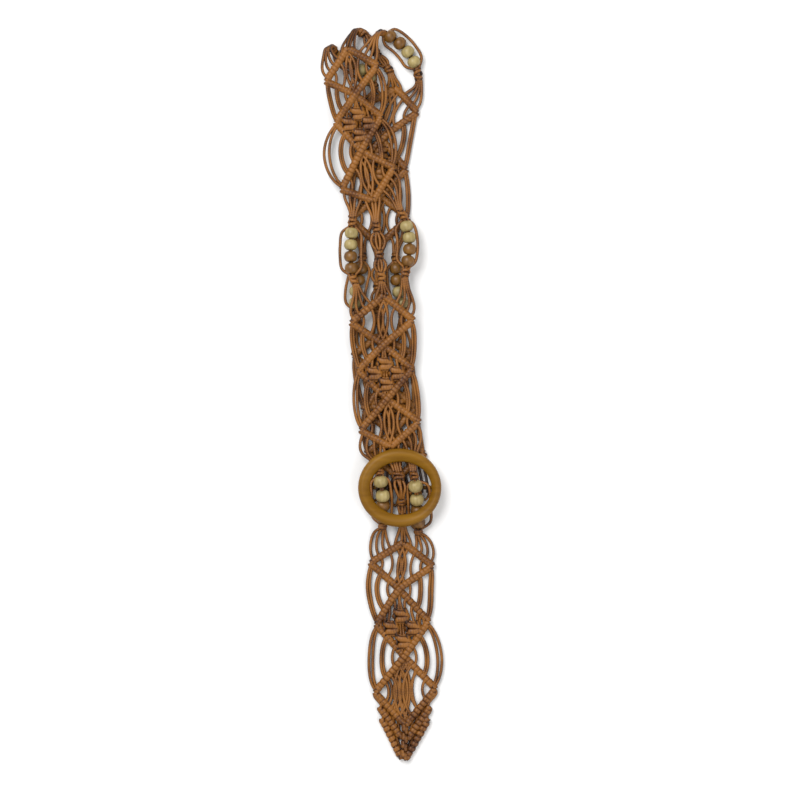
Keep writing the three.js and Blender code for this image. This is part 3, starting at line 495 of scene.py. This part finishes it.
def filledParts(left, right):
    # one, two and one square knots, each of four of the ten cords, and the cords between them and the bars
    top, low = left[2], left[4]
    middle = (left[3][0] + right[3][0]) / 2
    reach, half = (low[0] - top[0]) / 2, (right[3][1] - left[3][1]) / 2
    width, length, fan = filledLooks["width"], filledLooks["length"], filledLooks["fan"]
    across = filledLooks["across"] * half
    side = middle + filledLooks["side"] * reach
    where = {"top": (middle + filledLooks["top"] * reach, 0), "left": (side, -across),
             "right": (side, across), "low": (middle + filledLooks["low"] * reach, 0)}
    parts = [squareKnot(s, b, 0.0, width, length, 1, filledLooks["wide"], filledLooks["thick"])
             for s, b in where.values()]
    into = {name: knotPorts(*place, -1, width=width, length=length) for name, place in where.items()}
    out = {name: knotPorts(*place, 1, width=width, length=length) for name, place in where.items()}

    def onBars(end, way):
        spots = [flat(spotsAlong(corner, end, fan)) for corner in (left[3], right[3])]
        return np.vstack(spots), [squareOff(left[3], end, way)] * 4 + [squareOff(right[3], end, way)] * 4

    starts, ways = onBars(top, onward)
    ends = np.vstack([into["left"][:2], into["top"][:2], into["right"][:1:-1], into["top"][:1:-1]])
    parts.append(portCords(starts, ways, ends, backward, filledLooks["inLift"]))
    inner = np.vstack([into["left"][2:], into["right"][:2]])
    parts.append(portCords(out["top"], onward, inner, backward))
    inner = np.vstack([out["left"][2:], out["right"][:2]])
    parts.append(portCords(inner, onward, into["low"], backward))
    # two cords run straight through, below the side knots
    parts.append(portCords(out["top"][1:3], onward, into["low"][1:3], backward, filledLooks["sink"]))
    ends, ways = onBars(low, backward)
    starts = np.vstack([out["left"][:2], out["low"][:2], out["right"][:1:-1], out["low"][:1:-1]])
    parts.append(portCords(starts, onward, ends, ways, filledLooks["outLift"]))
    for spots in (left, right):
        parts.append(bareCords(spots[3], spots[2], spots[3], spots[4], filledLooks["edge"],
                               filledLooks["edgeLifts"], [webLooks["pull"]] * 2))
    return parts


tipLooks = {
    # two more rows under the last diamond: outer along, outer across, inner along, inner across
    "rows": [[0.9, 0.81, 1.072, 0.09], [0.962, 0.745, 1.184, 0.06]],
    "barWidth": 0.0081, "wraps": 8,
    # cords between the rows
    "shares": [0.02, 0.2, 0.4, 0.6, 0.8], "lifts": [-0.0006, -0.0016, -0.0016, -0.0016, -0.0016],
    "pull": [0.45, 0.3, 0.3, 0.3, 0.3],
    # round knots down the middle
    "knots": [1.019, 1.068, 1.112, 1.161], "knotHalf": 0.003, "knotWidth": 0.0074, "knotLift": 0.0018,
    # cords of the last diamond, left and right, and those that crowd at its middle
    "cords": [[0.32, 0.40, 0.50, 0.62, 0.76], [0.3, 0.56, 0.74, 0.84, 0.94]],
    "crowdFrom": [0.62, 0.82, 0.96], "crowdTo": [0.6, 0.8, 0.93], "crowdWay": (0.9, 0.35),
    "crowdLift": -0.0012,
}


def tipParts(corners):
    # two more V-shaped rows under the last diamond, with short cords between rows and knots down the middle
    parts = []
    start, length, half = corners["start"], corners["length"], belt["strapWidth"] / 2
    ladder = [[(corners[side][5], corners[side][6]) for side in ("left", "right")]]
    for outerAlong, outer, innerAlong, inner in tipLooks["rows"]:
        ladder.append([(np.array([start + outerAlong * length, sign * outer * half]),
                        np.array([start + innerAlong * length, sign * inner * half])) for sign in (-1, 1)])
    for row in ladder[1:]:
        for arm in row:
            parts += coiledBar(arm, wraps=tipLooks["wraps"], width=tipLooks["barWidth"])
    for upper, lower in zip(ladder[:-1], ladder[1:]):
        for armA, armB in zip(upper, lower):
            parts.append(bareCords(*armA, *armB, tipLooks["shares"], tipLooks["lifts"], tipLooks["pull"]))
    for along in tipLooks["knots"]:
        spot = start + along * length
        parts += coiledBar([(spot - tipLooks["knotHalf"], 0), (spot + tipLooks["knotHalf"], 0)],
                           [tipLooks["knotLift"]] * 2, wraps=2, width=tipLooks["knotWidth"])
    ahead, aside = tipLooks["crowdWay"]
    for side, sign in (("left", 1), ("right", -1)):
        corner, upper, lower = (corners[side][k] for k in (5, 4, 6))
        starts = flat(spotsAlong(corner, upper, tipLooks["crowdFrom"]))
        ends = flat(spotsAlong(corner, lower, tipLooks["crowdTo"]))
        parts.append(portCords(starts, [ahead, aside * sign], ends, [-ahead, aside * sign],
                               tipLooks["crowdLift"]))
    return parts


# Columns of cords between two panels

columnLooks = {
    "fan": [0.1, 0.28, 0.46, 0.64], "knotOff": 0.0012, "stations": 44, "coreGap": 0.28, "core": 0.8,
    "rounding": [0.9, 1.0, 1.0, 0.9],
    "inLifts": [0.0008, -0.0004, 0.0004, -0.0008], "outLifts": [-0.0006, 0.0006, -0.0004, 0.0006],
    # at the ring the left beads are pushed aside, the last knots are short and the cords lie slack
    "aside": [-0.0022, -0.0006, 0], "shortKnot": 0.55,
    "slack": [[1.9, -0.9], [1.7, -0.7], [1.4, -0.2], [1.0, 0.1]],
    "spread": {"left": [[0.2, -0.75], [0.5, -0.5], [1.0, -0.1], [1.0, 0.1]],
               "right": [[1.0, -0.1], [1.0, 0.1], [0.5, 0.5], [0.2, 0.75]]},
}


def seatedBeads(number, side):
    # middles of a column's beads and the way through each
    boxes = [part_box(f"bead_{number}_{side}_{k}") for k in range(1, 5)]
    centres = np.array([(np.array(low) + np.array(high)) / 2 for low, high in boxes])
    if number == 4 and side == "left":
        centres = centres + columnLooks["aside"]
    return centres, unit(np.gradient(centres, axis=0))


def columnCurve(rows, start, length):
    rows = np.array(rows, float)
    knots, values = rows[:, 0] * length, rows[:, 1] * belt["strapWidth"] / 2
    return lambda s: onCurve(knots, values, roundSlopes(knots, values), np.asarray(s) - start)


def nearestStation(point, curve, low, high):
    s = np.linspace(low, high, 1200)
    places = onStrap(np.column_stack([s, curve(s), np.zeros_like(s)]))
    return s[np.argmin(np.linalg.norm(places - point, axis=1))]


def beadColumnParts(number, side):
    # square knot, two cords through the beads with one bowed cord each side, square knot
    above, below = cornersOf(number - 1), cornersOf(number)
    low, high = above["start"] + above["length"], below["start"]
    stretch, atRing = stretches[number - 1], number == 4
    curve = columnCurve(stretch[side], low, high - low)
    centres, ways = seatedBeads(number, side)
    half = belt["beadLength"] / 2
    firstPoint, lastPoint = centres[0] - ways[0] * half, centres[-1] + ways[-1] * half
    lengths = [belt["knotLength"], belt["knotLength"] * (columnLooks["shortKnot"] if atRing else 1)]
    knotA = nearestStation(firstPoint, curve, low, high) - lengths[0] / 2 - columnLooks["knotOff"]
    knotB = nearestStation(lastPoint, curve, low, high) + lengths[1] / 2 + columnLooks["knotOff"]
    step = 0.001
    lean = [float((curve(k + step) - curve(k - step)) / (2 * step)) for k in (knotA, knotB)]
    bA, bB = float(curve(knotA)), float(curve(knotB))
    parts = [squareKnot(knotA, bA, lean[0]), squareKnot(knotB, bB, lean[1], length=lengths[1], flip=-1)]
    outA, inB = knotPorts(knotA, bA, 1, lean[0]), knotPorts(knotB, bB, -1, lean[1], length=lengths[1])
    placeA, placeB = onStrap(outA), onStrap(inB)
    # cores through the beads
    gap = belt["cord"] * columnLooks["coreGap"]
    sideways = unit(np.cross(ways, strapAxes(np.full(4, (knotA + knotB) / 2))[2]))
    coreStops = [np.vstack([placeA[1 + i], centres + sign * gap * sideways, placeB[1 + i]])
                 for i, sign in ((0, -1), (1, 1))]
    parts.append(cords(smoothPaths(coreStops, columnLooks["stations"]), columnLooks["core"], sides=8))
    # outer cords bow round the beads, square to them in the strap's own way across, so that left stays left
    cross = strapAxes(np.array([nearestStation(c, curve, low, high) for c in centres]))[1]
    bowed = np.array(columnLooks["rounding"])[:, None] * squareTo(cross, ways)
    outerStops = [np.vstack([placeA[port], centres + sign * bow * bowed, placeB[port]])
                  for port, sign, bow in zip((0, 3), (-1, 1), stretch["bows"][side])]
    parts.append(cords(smoothPaths(outerStops, columnLooks["stations"])))
    # fans to the panels
    panelA, panelB = above[side], below[side]
    fan = columnLooks["fan"] if side == "left" else columnLooks["fan"][::-1]
    fromA, toB = flat(spotsAlong(panelA[5], panelA[6], fan)), flat(spotsAlong(panelB[1], panelB[0], fan))
    slack = atRing and side == "left"
    startWays = columnLooks["slack"] if slack else squareOff(panelA[5], panelA[6], onward)
    parts.append(portCords(fromA, startWays, knotPorts(knotA, bA, -1, lean[0]), [-1.0, -lean[0]],
                           columnLooks["inLifts"]))
    leaveWays = columnLooks["spread"][side] if atRing else [1.0, lean[1]]
    parts.append(portCords(knotPorts(knotB, bB, 1, lean[1], length=lengths[1]), leaveWays, toB,
                           squareOff(panelB[1], panelB[0], backward), columnLooks["outLifts"]))
    return parts


middleLooks = {
    # ways of the cords as they leave a knot: bowed out, and pulled straight at the ring, below a wide knot
    "bowed": [[0.75, -0.8], [1.0, -0.25], [1.0, 0.25], [0.75, 0.8]],
    "pulled": [[1.0, -0.5], [1.0, 0.3], [1.0, -0.1], [1.0, 0.45]], "wideKnot": 0.0128,
    # where the four cords leave the bars at a panel's point
    "outer": 0.74, "inner": 0.96, "off": 0.001,
    "inLifts": [0.0006, -0.0004, 0.0004, -0.0004], "lifts": [0.0006, -0.0005, 0.0005, -0.0006],
    "outLifts": [-0.0004, 0.0006, -0.0004, 0.0006],
}


def pointSpots(corners, far, near):
    outer, inner = middleLooks["outer"], middleLooks["inner"]
    left = spotsAlong(corners["left"][far], corners["left"][near], [outer, inner])
    right = spotsAlong(corners["right"][far], corners["right"][near], [inner, outer])
    return flat(np.vstack([left, right + [[0, middleLooks["off"]], [0, 0]]]))


def middleColumnParts(number):
    # three square knots on the two leading cords and a cord from each side
    above, below = cornersOf(number - 1), cornersOf(number)
    low, high = above["start"] + above["length"], below["start"]
    spots = low + np.array(stretches[number - 1]["middle"]) * (high - low)
    atRing, usual = number == 4, belt["knotWidth"]
    widths = (middleLooks["wideKnot"] if atRing else usual, usual, usual)
    leave = middleLooks["pulled"] if atRing else middleLooks["bowed"]
    arrive = backward if atRing else np.array(middleLooks["bowed"]) * [-1, 1]
    parts = [squareKnot(s, 0, width=w, flip=flip) for s, w, flip in zip(spots, widths, (1, -1, 1))]
    for a, b, width in zip(spots[:-1], spots[1:], widths):
        parts.append(portCords(knotPorts(a, 0, 1, width=width), leave, knotPorts(b, 0, -1), arrive,
                               middleLooks["lifts"]))
    parts.append(portCords(pointSpots(above, 5, 6), onward, knotPorts(spots[0], 0, -1, width=widths[0]),
                           backward, middleLooks["inLifts"]))
    parts.append(portCords(knotPorts(spots[-1], 0, 1), onward, pointSpots(below, 1, 0), backward,
                           middleLooks["outLifts"]))
    return parts


# Start of the strap: six doubled cords looped on the crossbar

loopLooks = {
    "loops": 6, "spacing": 0.0101, "legs": 0.0026, "stations": 52, "stand": 0.0006, "leg": 0.92, "bight": 0.9,
    "arc": (200, -80, 12), "bightWidth": 0.0042, "bightFloor": 0.0026, "bightStart": 0.75, "bightFall": 1.6,
    "drops": [0.01, 0.022, 0.015, 0.014, 0.018, 0.009],
}


def loopParts(crossbarCentre):
    # each leg goes round the crossbar and runs on to the first bars; a bight ties the two legs of a cord
    radius = belt["crossbar"] / 2 + belt["cord"] / 2 + loopLooks["stand"]
    angles = np.radians(np.linspace(*loopLooks["arc"]))
    corners = cornersOf(0)
    shares = np.linspace(0.12, 0.95, loopLooks["loops"])
    shares = [("left", share) for share in shares] + [("right", share) for share in shares[::-1]]
    parts, legs = [], []
    for i in range(loopLooks["loops"]):
        offset = (i - (loopLooks["loops"] - 1) / 2) * loopLooks["spacing"]
        for leg in (0, 1):
            # round the bar from underneath, over the far side and off towards the strap
            x = np.full(len(angles), offset + (2 * leg - 1) * loopLooks["legs"])
            arc = crossbarCentre + np.column_stack([x, -radius * np.cos(angles), radius * np.sin(angles)])
            side, share = shares[2 * i + leg]
            end = onStrap(flat(spotsAlong(corners[side][1], corners[side][0], [share])))[0]
            legs.append(np.vstack([arc[::-1][:10], (arc[2] + end) / 2, end]))
        # the bight hangs slack from the front of the bar down to the floor
        bight = np.radians(np.linspace(0, 180, 21))
        fall = np.clip(loopLooks["bightFall"] * np.sin(bight), 0, 1)
        front = radius * loopLooks["bightStart"]
        x = crossbarCentre[0] + offset + loopLooks["bightWidth"] * np.cos(bight)
        y = crossbarCentre[1] - front - loopLooks["drops"][i] * np.sin(bight)
        z = (crossbarCentre[2] + front) * (1 - fall) + loopLooks["bightFloor"] * fall
        parts.append(cords(np.stack([x, y, z], -1)[None], loopLooks["bight"]))
    parts.append(cords(smoothPaths(legs, loopLooks["stations"]), loopLooks["leg"]))
    return parts


# Beads and ring

# scales: size of the beads of each stretch against the others
beadLooks = {
    "around": 28, "along": 15, "bore": 0.0021, "boreWall": 0.97, "wallReach": 0.96, "round": 2.1,
    "scales": [1.0, 1.0, 1.0, 1.07],
}


def roundGrid(rows, cols):
    # quads of a closed outline carried once round, how far round each corner is, and its place in the outline
    i, j = np.meshgrid(np.arange(rows), np.arange(cols), indexing="ij")
    i1, j1 = (i + 1) % rows, (j + 1) % cols
    quads = np.stack([i * cols + j, i1 * cols + j, i1 * cols + j1, i * cols + j1], -1).reshape(-1, 4)
    return quads, np.stack([i, i + 1, i + 1, i], -1) / rows, np.stack([j, j, j + 1, j + 1], -1)


def beadPart(centre, way, seed, scale):
    # a ball flattened towards its two bore mouths, with the bore's wall; v goes once round the closed outline
    steps = np.linspace(-1, 1, beadLooks["along"])
    half, radius, bore = belt["beadLength"] / 2 * scale, belt["bead"] / 2 * scale, beadLooks["bore"]
    bulge = bore + (radius - bore) * np.sqrt(np.clip(1 - np.abs(steps)**beadLooks["round"], 0, 1))
    end = beadLooks["wallReach"]
    wall = np.column_stack([np.linspace(end, -end, 4) * half, np.full(4, bore * beadLooks["boreWall"])])
    outline = np.concatenate([np.column_stack([steps * half, bulge]), wall])
    angles = 2 * np.pi * np.arange(beadLooks["around"]) / beadLooks["around"]
    guess = np.array([0, 0, 1.0]) if abs(way[2]) < 0.9 else np.array([1.0, 0, 0])
    first = unit(np.cross(way, guess))
    second = np.cross(way, first)
    radial = np.cos(angles)[:, None] * first + np.sin(angles)[:, None] * second
    points = (centre + outline[None, :, :1] * way + outline[None, :, 1:] * radial[:, None, :]).reshape(-1, 3)
    quads, v, place = roundGrid(beadLooks["around"], len(outline))
    u = seed + outline[place % len(outline), 0]
    return points, quads, np.stack([u, v], -1).reshape(-1, 4, 2)


ringLooks = {
    "around": 120, "rim": 0.0112, "rimEnds": 0.0128, "depth": 0.0074, "holeOff": (0.0012, -0.0004),
    "tilt": np.radians(1.2), "play": 0.0001,
}
# Outline of the rim: share of the way inward and share of the depth, from the outer foot over the top
rimStops = np.array([
    [0.13, 0.0], [0.02, 0.12], [0.0, 0.34], [0.04, 0.6], [0.14, 0.82], [0.28, 0.96], [0.42, 0.99],
    [0.56, 0.93], [0.72, 0.76], [0.88, 0.55], [0.98, 0.36], [1.0, 0.22], [0.97, 0.08], [0.88, 0.0],
])


def ringPart():
    # the rim's outline carried round an oval
    angles = 2 * np.pi * np.arange(ringLooks["around"]) / ringLooks["around"]
    halfX, halfY = (ringHigh - ringLow)[:2] / 2 - ringLooks["play"]
    inward, rise = rimStops[None, :, 0], rimStops[None, :, 1]
    x = (halfX - inward * ringLooks["rim"]) * np.cos(angles)[:, None] + inward * ringLooks["holeOff"][0]
    y = (halfY - inward * ringLooks["rimEnds"]) * np.sin(angles)[:, None] + inward * ringLooks["holeOff"][1]
    lowest = ringHigh[2] - ringLooks["depth"] - halfY * np.sin(ringLooks["tilt"])
    z = lowest + rise * ringLooks["depth"] - y * np.tan(ringLooks["tilt"])
    centre = (ringLow + ringHigh) / 2
    points = np.stack([centre[0] + x, centre[1] + y, z], -1).reshape(-1, 3)
    quads, u, place = roundGrid(ringLooks["around"], len(rimStops))
    return points, quads, np.stack([u, place / len(rimStops)], -1).reshape(-1, 4, 2)


# Share of half the crossbar and share of its drop under the ring's back
crossbarStops = np.array([
    [-0.99, 0.0], [-0.9, 0.2], [-0.77, 1.0], [-0.4, 1.0], [0.4, 1.0], [0.77, 1.0], [0.9, 0.2], [0.99, 0.0],
])
crossbarDrop = 0.0056
ringBack = 2 * (belt["barThickness"] + 0.0004) + 0.0003  # two layers of the strap and the gaps between


def crossbarPart():
    reach = (ringHigh[0] - ringLow[0]) / 2 - ringLooks["rim"] / 2
    stops = np.column_stack([crossbarStops[:, 0] * reach, np.zeros(len(crossbarStops)),
                             ringBack - crossbarStops[:, 1] * crossbarDrop])
    path = smoothPaths(stops[None] + shift + [belt["ringShift"], 0, 0], 60)
    return sweep(path, belt["crossbar"] / 2, sides=16)


# Materials

def newMaterial(name, roughness, coat=0.0, specular=0.3):
    material = bpy.data.materials.new(name)
    material.use_nodes = True
    shader = material.node_tree.nodes["Principled BSDF"]
    shader.inputs["Roughness"].default_value = roughness
    shader.inputs["Coat Weight"].default_value = coat
    shader.inputs["Coat Roughness"].default_value = 0.35
    shader.inputs["Specular IOR Level"].default_value = specular
    return material, material.node_tree, shader


def noise(tree, source, scale, detail):
    node = tree.nodes.new("ShaderNodeTexNoise")
    node.inputs["Scale"].default_value = scale
    node.inputs["Detail"].default_value = detail
    tree.links.new(source, node.inputs["Vector"])
    return node.outputs["Fac"]


def sums(tree, operation, a, b=0.0):
    node = tree.nodes.new("ShaderNodeMath")
    node.operation = operation
    for socket, value in zip(node.inputs, (a, b)):
        if isinstance(value, (int, float)):
            socket.default_value = value
        else:
            tree.links.new(value, socket)
    return node.outputs[0]


def mixed(tree, a, shareA, b, shareB):
    return sums(tree, "ADD", sums(tree, "MULTIPLY", a, shareA), sums(tree, "MULTIPLY", b, shareB))


def colourBy(tree, shader, shade, stops):
    node = tree.nodes.new("ShaderNodeValToRGB")
    while len(node.color_ramp.elements) < len(stops):
        node.color_ramp.elements.new(0.5)
    for element, (position, colour) in zip(node.color_ramp.elements, stops):
        element.position = position
        element.color = (*colour, 1)
    tree.links.new(shade, node.inputs["Fac"])
    tree.links.new(node.outputs["Color"], shader.inputs["Base Color"])


def roughen(tree, shader, height, strength, distance):
    bump = tree.nodes.new("ShaderNodeBump")
    bump.inputs["Strength"].default_value = strength
    bump.inputs["Distance"].default_value = distance
    tree.links.new(height, bump.inputs["Height"])
    tree.links.new(bump.outputs["Normal"], shader.inputs["Normal"])


def grainSpace(tree, coords, scale, turn):
    stretch = tree.nodes.new("ShaderNodeMapping")
    stretch.inputs["Scale"].default_value = scale
    stretch.inputs["Rotation"].default_value = turn
    tree.links.new(coords, stretch.inputs["Vector"])
    return stretch.outputs["Vector"]


# cord tones, with two numbers that set painted shade on the sides and a painted highlight on top
waxedLooks = {
    "dark": (0.015, 0.004, 0.0006), "middle": (0.078, 0.0235, 0.0028), "light": (0.25, 0.095, 0.013),
    "braid": 0.0024, "roughness": 0.46, "coat": 0.04, "slow": 0.75, "fine": 0.22, "weave": 0.07,
    "slowScale": 55, "fineScale": 900, "paintedSideShade": 0.55, "paintedLightLevel": 0.62, "bump": 0.35, "bumpDepth": 0.00025,
}


def waxedCord():
    # round braid: two slanted waves cross along the cord; the wax and dye vary slowly along it
    material, tree, shader = newMaterial("waxedCord", waxedLooks["roughness"], waxedLooks["coat"])
    uv = tree.nodes.new("ShaderNodeUVMap")
    uv.uv_map = "alongCord"
    split = tree.nodes.new("ShaderNodeSeparateXYZ")
    tree.links.new(uv.outputs["UV"], split.inputs[0])
    turns = sums(tree, "MULTIPLY", split.outputs["X"], 2 * np.pi / waxedLooks["braid"])
    twist = sums(tree, "MULTIPLY", split.outputs["Y"], 4 * np.pi)
    one = sums(tree, "SINE", sums(tree, "ADD", turns, twist))
    two = sums(tree, "SINE", sums(tree, "SUBTRACT", turns, twist))
    braid = sums(tree, "MAXIMUM", one, two)
    coords = tree.nodes.new("ShaderNodeTexCoord").outputs["Object"]
    slow = noise(tree, coords, waxedLooks["slowScale"], 2.0)
    fine = noise(tree, coords, waxedLooks["fineScale"], 4.0)
    shade = mixed(tree, slow, waxedLooks["slow"], fine, waxedLooks["fine"])
    shade = sums(tree, "ADD", shade, sums(tree, "MULTIPLY", braid, waxedLooks["weave"]))
    # painted shade on the cord's sides and between wraps, painted highlight along its top line
    top = sums(tree, "COSINE", sums(tree, "MULTIPLY", split.outputs["Y"], 2 * np.pi))
    paintedSideShade = sums(tree, "MULTIPLY", sums(tree, "SUBTRACT", top, waxedLooks["paintedLightLevel"]), waxedLooks["paintedSideShade"])
    shade = sums(tree, "ADD", shade, paintedSideShade)
    colourBy(tree, shader, shade,
             [(0.22, waxedLooks["dark"]), (0.5, waxedLooks["middle"]), (0.78, waxedLooks["light"])])
    height = mixed(tree, braid, 0.6, fine, 0.5)
    roughen(tree, shader, height, waxedLooks["bump"], waxedLooks["bumpDepth"])
    return material


def beadWood(name, dark, light, roughness):
    # grain runs along the bead, finer than it is wide, with small pores
    material, tree, shader = newMaterial(name, roughness, coat=0.25)
    coords = tree.nodes.new("ShaderNodeTexCoord").outputs["Object"]
    grain = noise(tree, grainSpace(tree, coords, (1.0, 0.22, 1.0), (0.1, 0.2, 0.35)), 420, 5.0)
    patch = noise(tree, coords, 90, 2.0)
    colourBy(tree, shader, mixed(tree, grain, 0.6, patch, 0.4), [(0.3, dark), (0.7, light)])
    roughen(tree, shader, grain, 0.2, 0.0002)
    return material


ochre = {"dark": (0.085, 0.034, 0.001), "middle": (0.17, 0.074, 0.002), "light": (0.24, 0.112, 0.005)}


def ringWood():
    # long grain along X, stained ochre, satin lacquer
    material, tree, shader = newMaterial("ringWood", 0.46, specular=0.2)
    coords = tree.nodes.new("ShaderNodeTexCoord").outputs["Object"]
    along = grainSpace(tree, coords, (0.12, 1.0, 0.6), (0.0, 0.0, 0.12))
    grain, broad = noise(tree, along, 230, 6.0), noise(tree, along, 45, 2.0)
    colourBy(tree, shader, mixed(tree, grain, 0.45, broad, 0.55),
             [(0.25, ochre["dark"]), (0.5, ochre["middle"]), (0.75, ochre["light"])])
    roughen(tree, shader, grain, 0.12, 0.0003)
    return material


cordMaterial = waxedCord()
creamMaterial = beadWood("creamBead", dark=(0.19, 0.135, 0.043), light=(0.42, 0.33, 0.135), roughness=0.45)
brownMaterial = beadWood("brownBead", dark=(0.075, 0.028, 0.003), light=(0.22, 0.098, 0.013), roughness=0.4)
ringMaterial = ringWood()
print("materials made")

# Pieces

for number in range(1, 6):
    addPiece(f"knottedPanel_{number}", panelParts(number - 1), cordMaterial,
             [f"diamond_panel_{number}"])
print("panels knotted")

for number in range(1, 5):
    for side in ("left", "right"):
        addPiece(f"beadCords_{side}_{number}", beadColumnParts(number, side), cordMaterial,
                 [f"{side}_bead_cords_{number}"])
        centres, ways = seatedBeads(number, side)
        for k in range(4):
            material, slotName = (creamMaterial, "bead_cream") if k < 2 else (brownMaterial, "bead_brown")
            bead = beadPart(centres[k], ways[k], number + k, beadLooks["scales"][number - 1])
            addPiece(f"woodBead_{number}_{side}_{k + 1}", [bead], material,
                     [f"bead_{number}_{side}_{k + 1}"])
    addPiece(f"middleKnots_{number}", middleColumnParts(number), cordMaterial,
             [f"middle_knot_cords_{number}"])
print("columns and beads strung")

addPiece("ringRim", [ringPart()], ringMaterial, ["ring_buckle"])
addPiece("ringCrossbar", [crossbarPart()], ringMaterial, [])
crossbarCentre = shift + [belt["ringShift"], 0, ringBack - crossbarDrop]
addPiece("crossbarLoops", loopParts(crossbarCentre), cordMaterial, [])
print("ring made")

# Floor, camera and light

stage = {"size": 6.0, "colour": (0.86, 0.855, 0.85), "cameraHeight": 4.0, "view": 0.804, "viewLevel": 0.01}
stage["lookAt"] = (shift[0] + 0.0015, shift[1] + 0.088)

floorMesh = bpy.data.meshes.new("floor")
reach = stage["size"] / 2
floorMesh.from_pydata([(-reach, -reach, 0), (reach, -reach, 0), (reach, reach, 0), (-reach, reach, 0)], [],
                      [(0, 1, 2, 3)])
floor = bpy.data.objects.new("floor", floorMesh)
bpy.context.collection.objects.link(floor)
floorMaterial, _, floorShader = newMaterial("paleFloor", 0.9)
floorShader.inputs["Base Color"].default_value = (*stage["colour"], 1)
floorMesh.materials.append(floorMaterial)

cameraData = bpy.data.cameras.new("camera")
camera = bpy.data.objects.new("camera", cameraData)
bpy.context.collection.objects.link(camera)
cameraData.sensor_width = 36
cameraData.lens = cameraData.sensor_width * (stage["cameraHeight"] - stage["viewLevel"]) / stage["view"]
cameraData.clip_end = 20
camera.location = (*stage["lookAt"], stage["cameraHeight"])
bpy.context.scene.camera = camera


def softLight(name, place, size, power):
    data = bpy.data.lights.new(name, "AREA")
    data.shape = "DISK"
    data.size, data.energy = size, power
    lamp = bpy.data.objects.new(name, data)
    bpy.context.collection.objects.link(lamp)
    target = Vector((*stage["lookAt"], 0))
    lamp.matrix_world = (Matrix.Translation(place)
                         @ (target - Vector(place)).to_track_quat("-Z", "Y").to_matrix().to_4x4())


softLight("keyLight", (-0.9, 1.1, 2.2), size=1.7, power=56)
softLight("fillLight", (1.4, -0.9, 1.8), size=1.8, power=16)
world = bpy.data.worlds.new("studio")
bpy.context.scene.world = world
world.use_nodes = True
world.node_tree.nodes["Background"].inputs["Color"].default_value = (1, 1, 1, 1)
world.node_tree.nodes["Background"].inputs["Strength"].default_value = 0.66
bpy.context.scene.view_settings.view_transform = "Standard"
print("stage set")
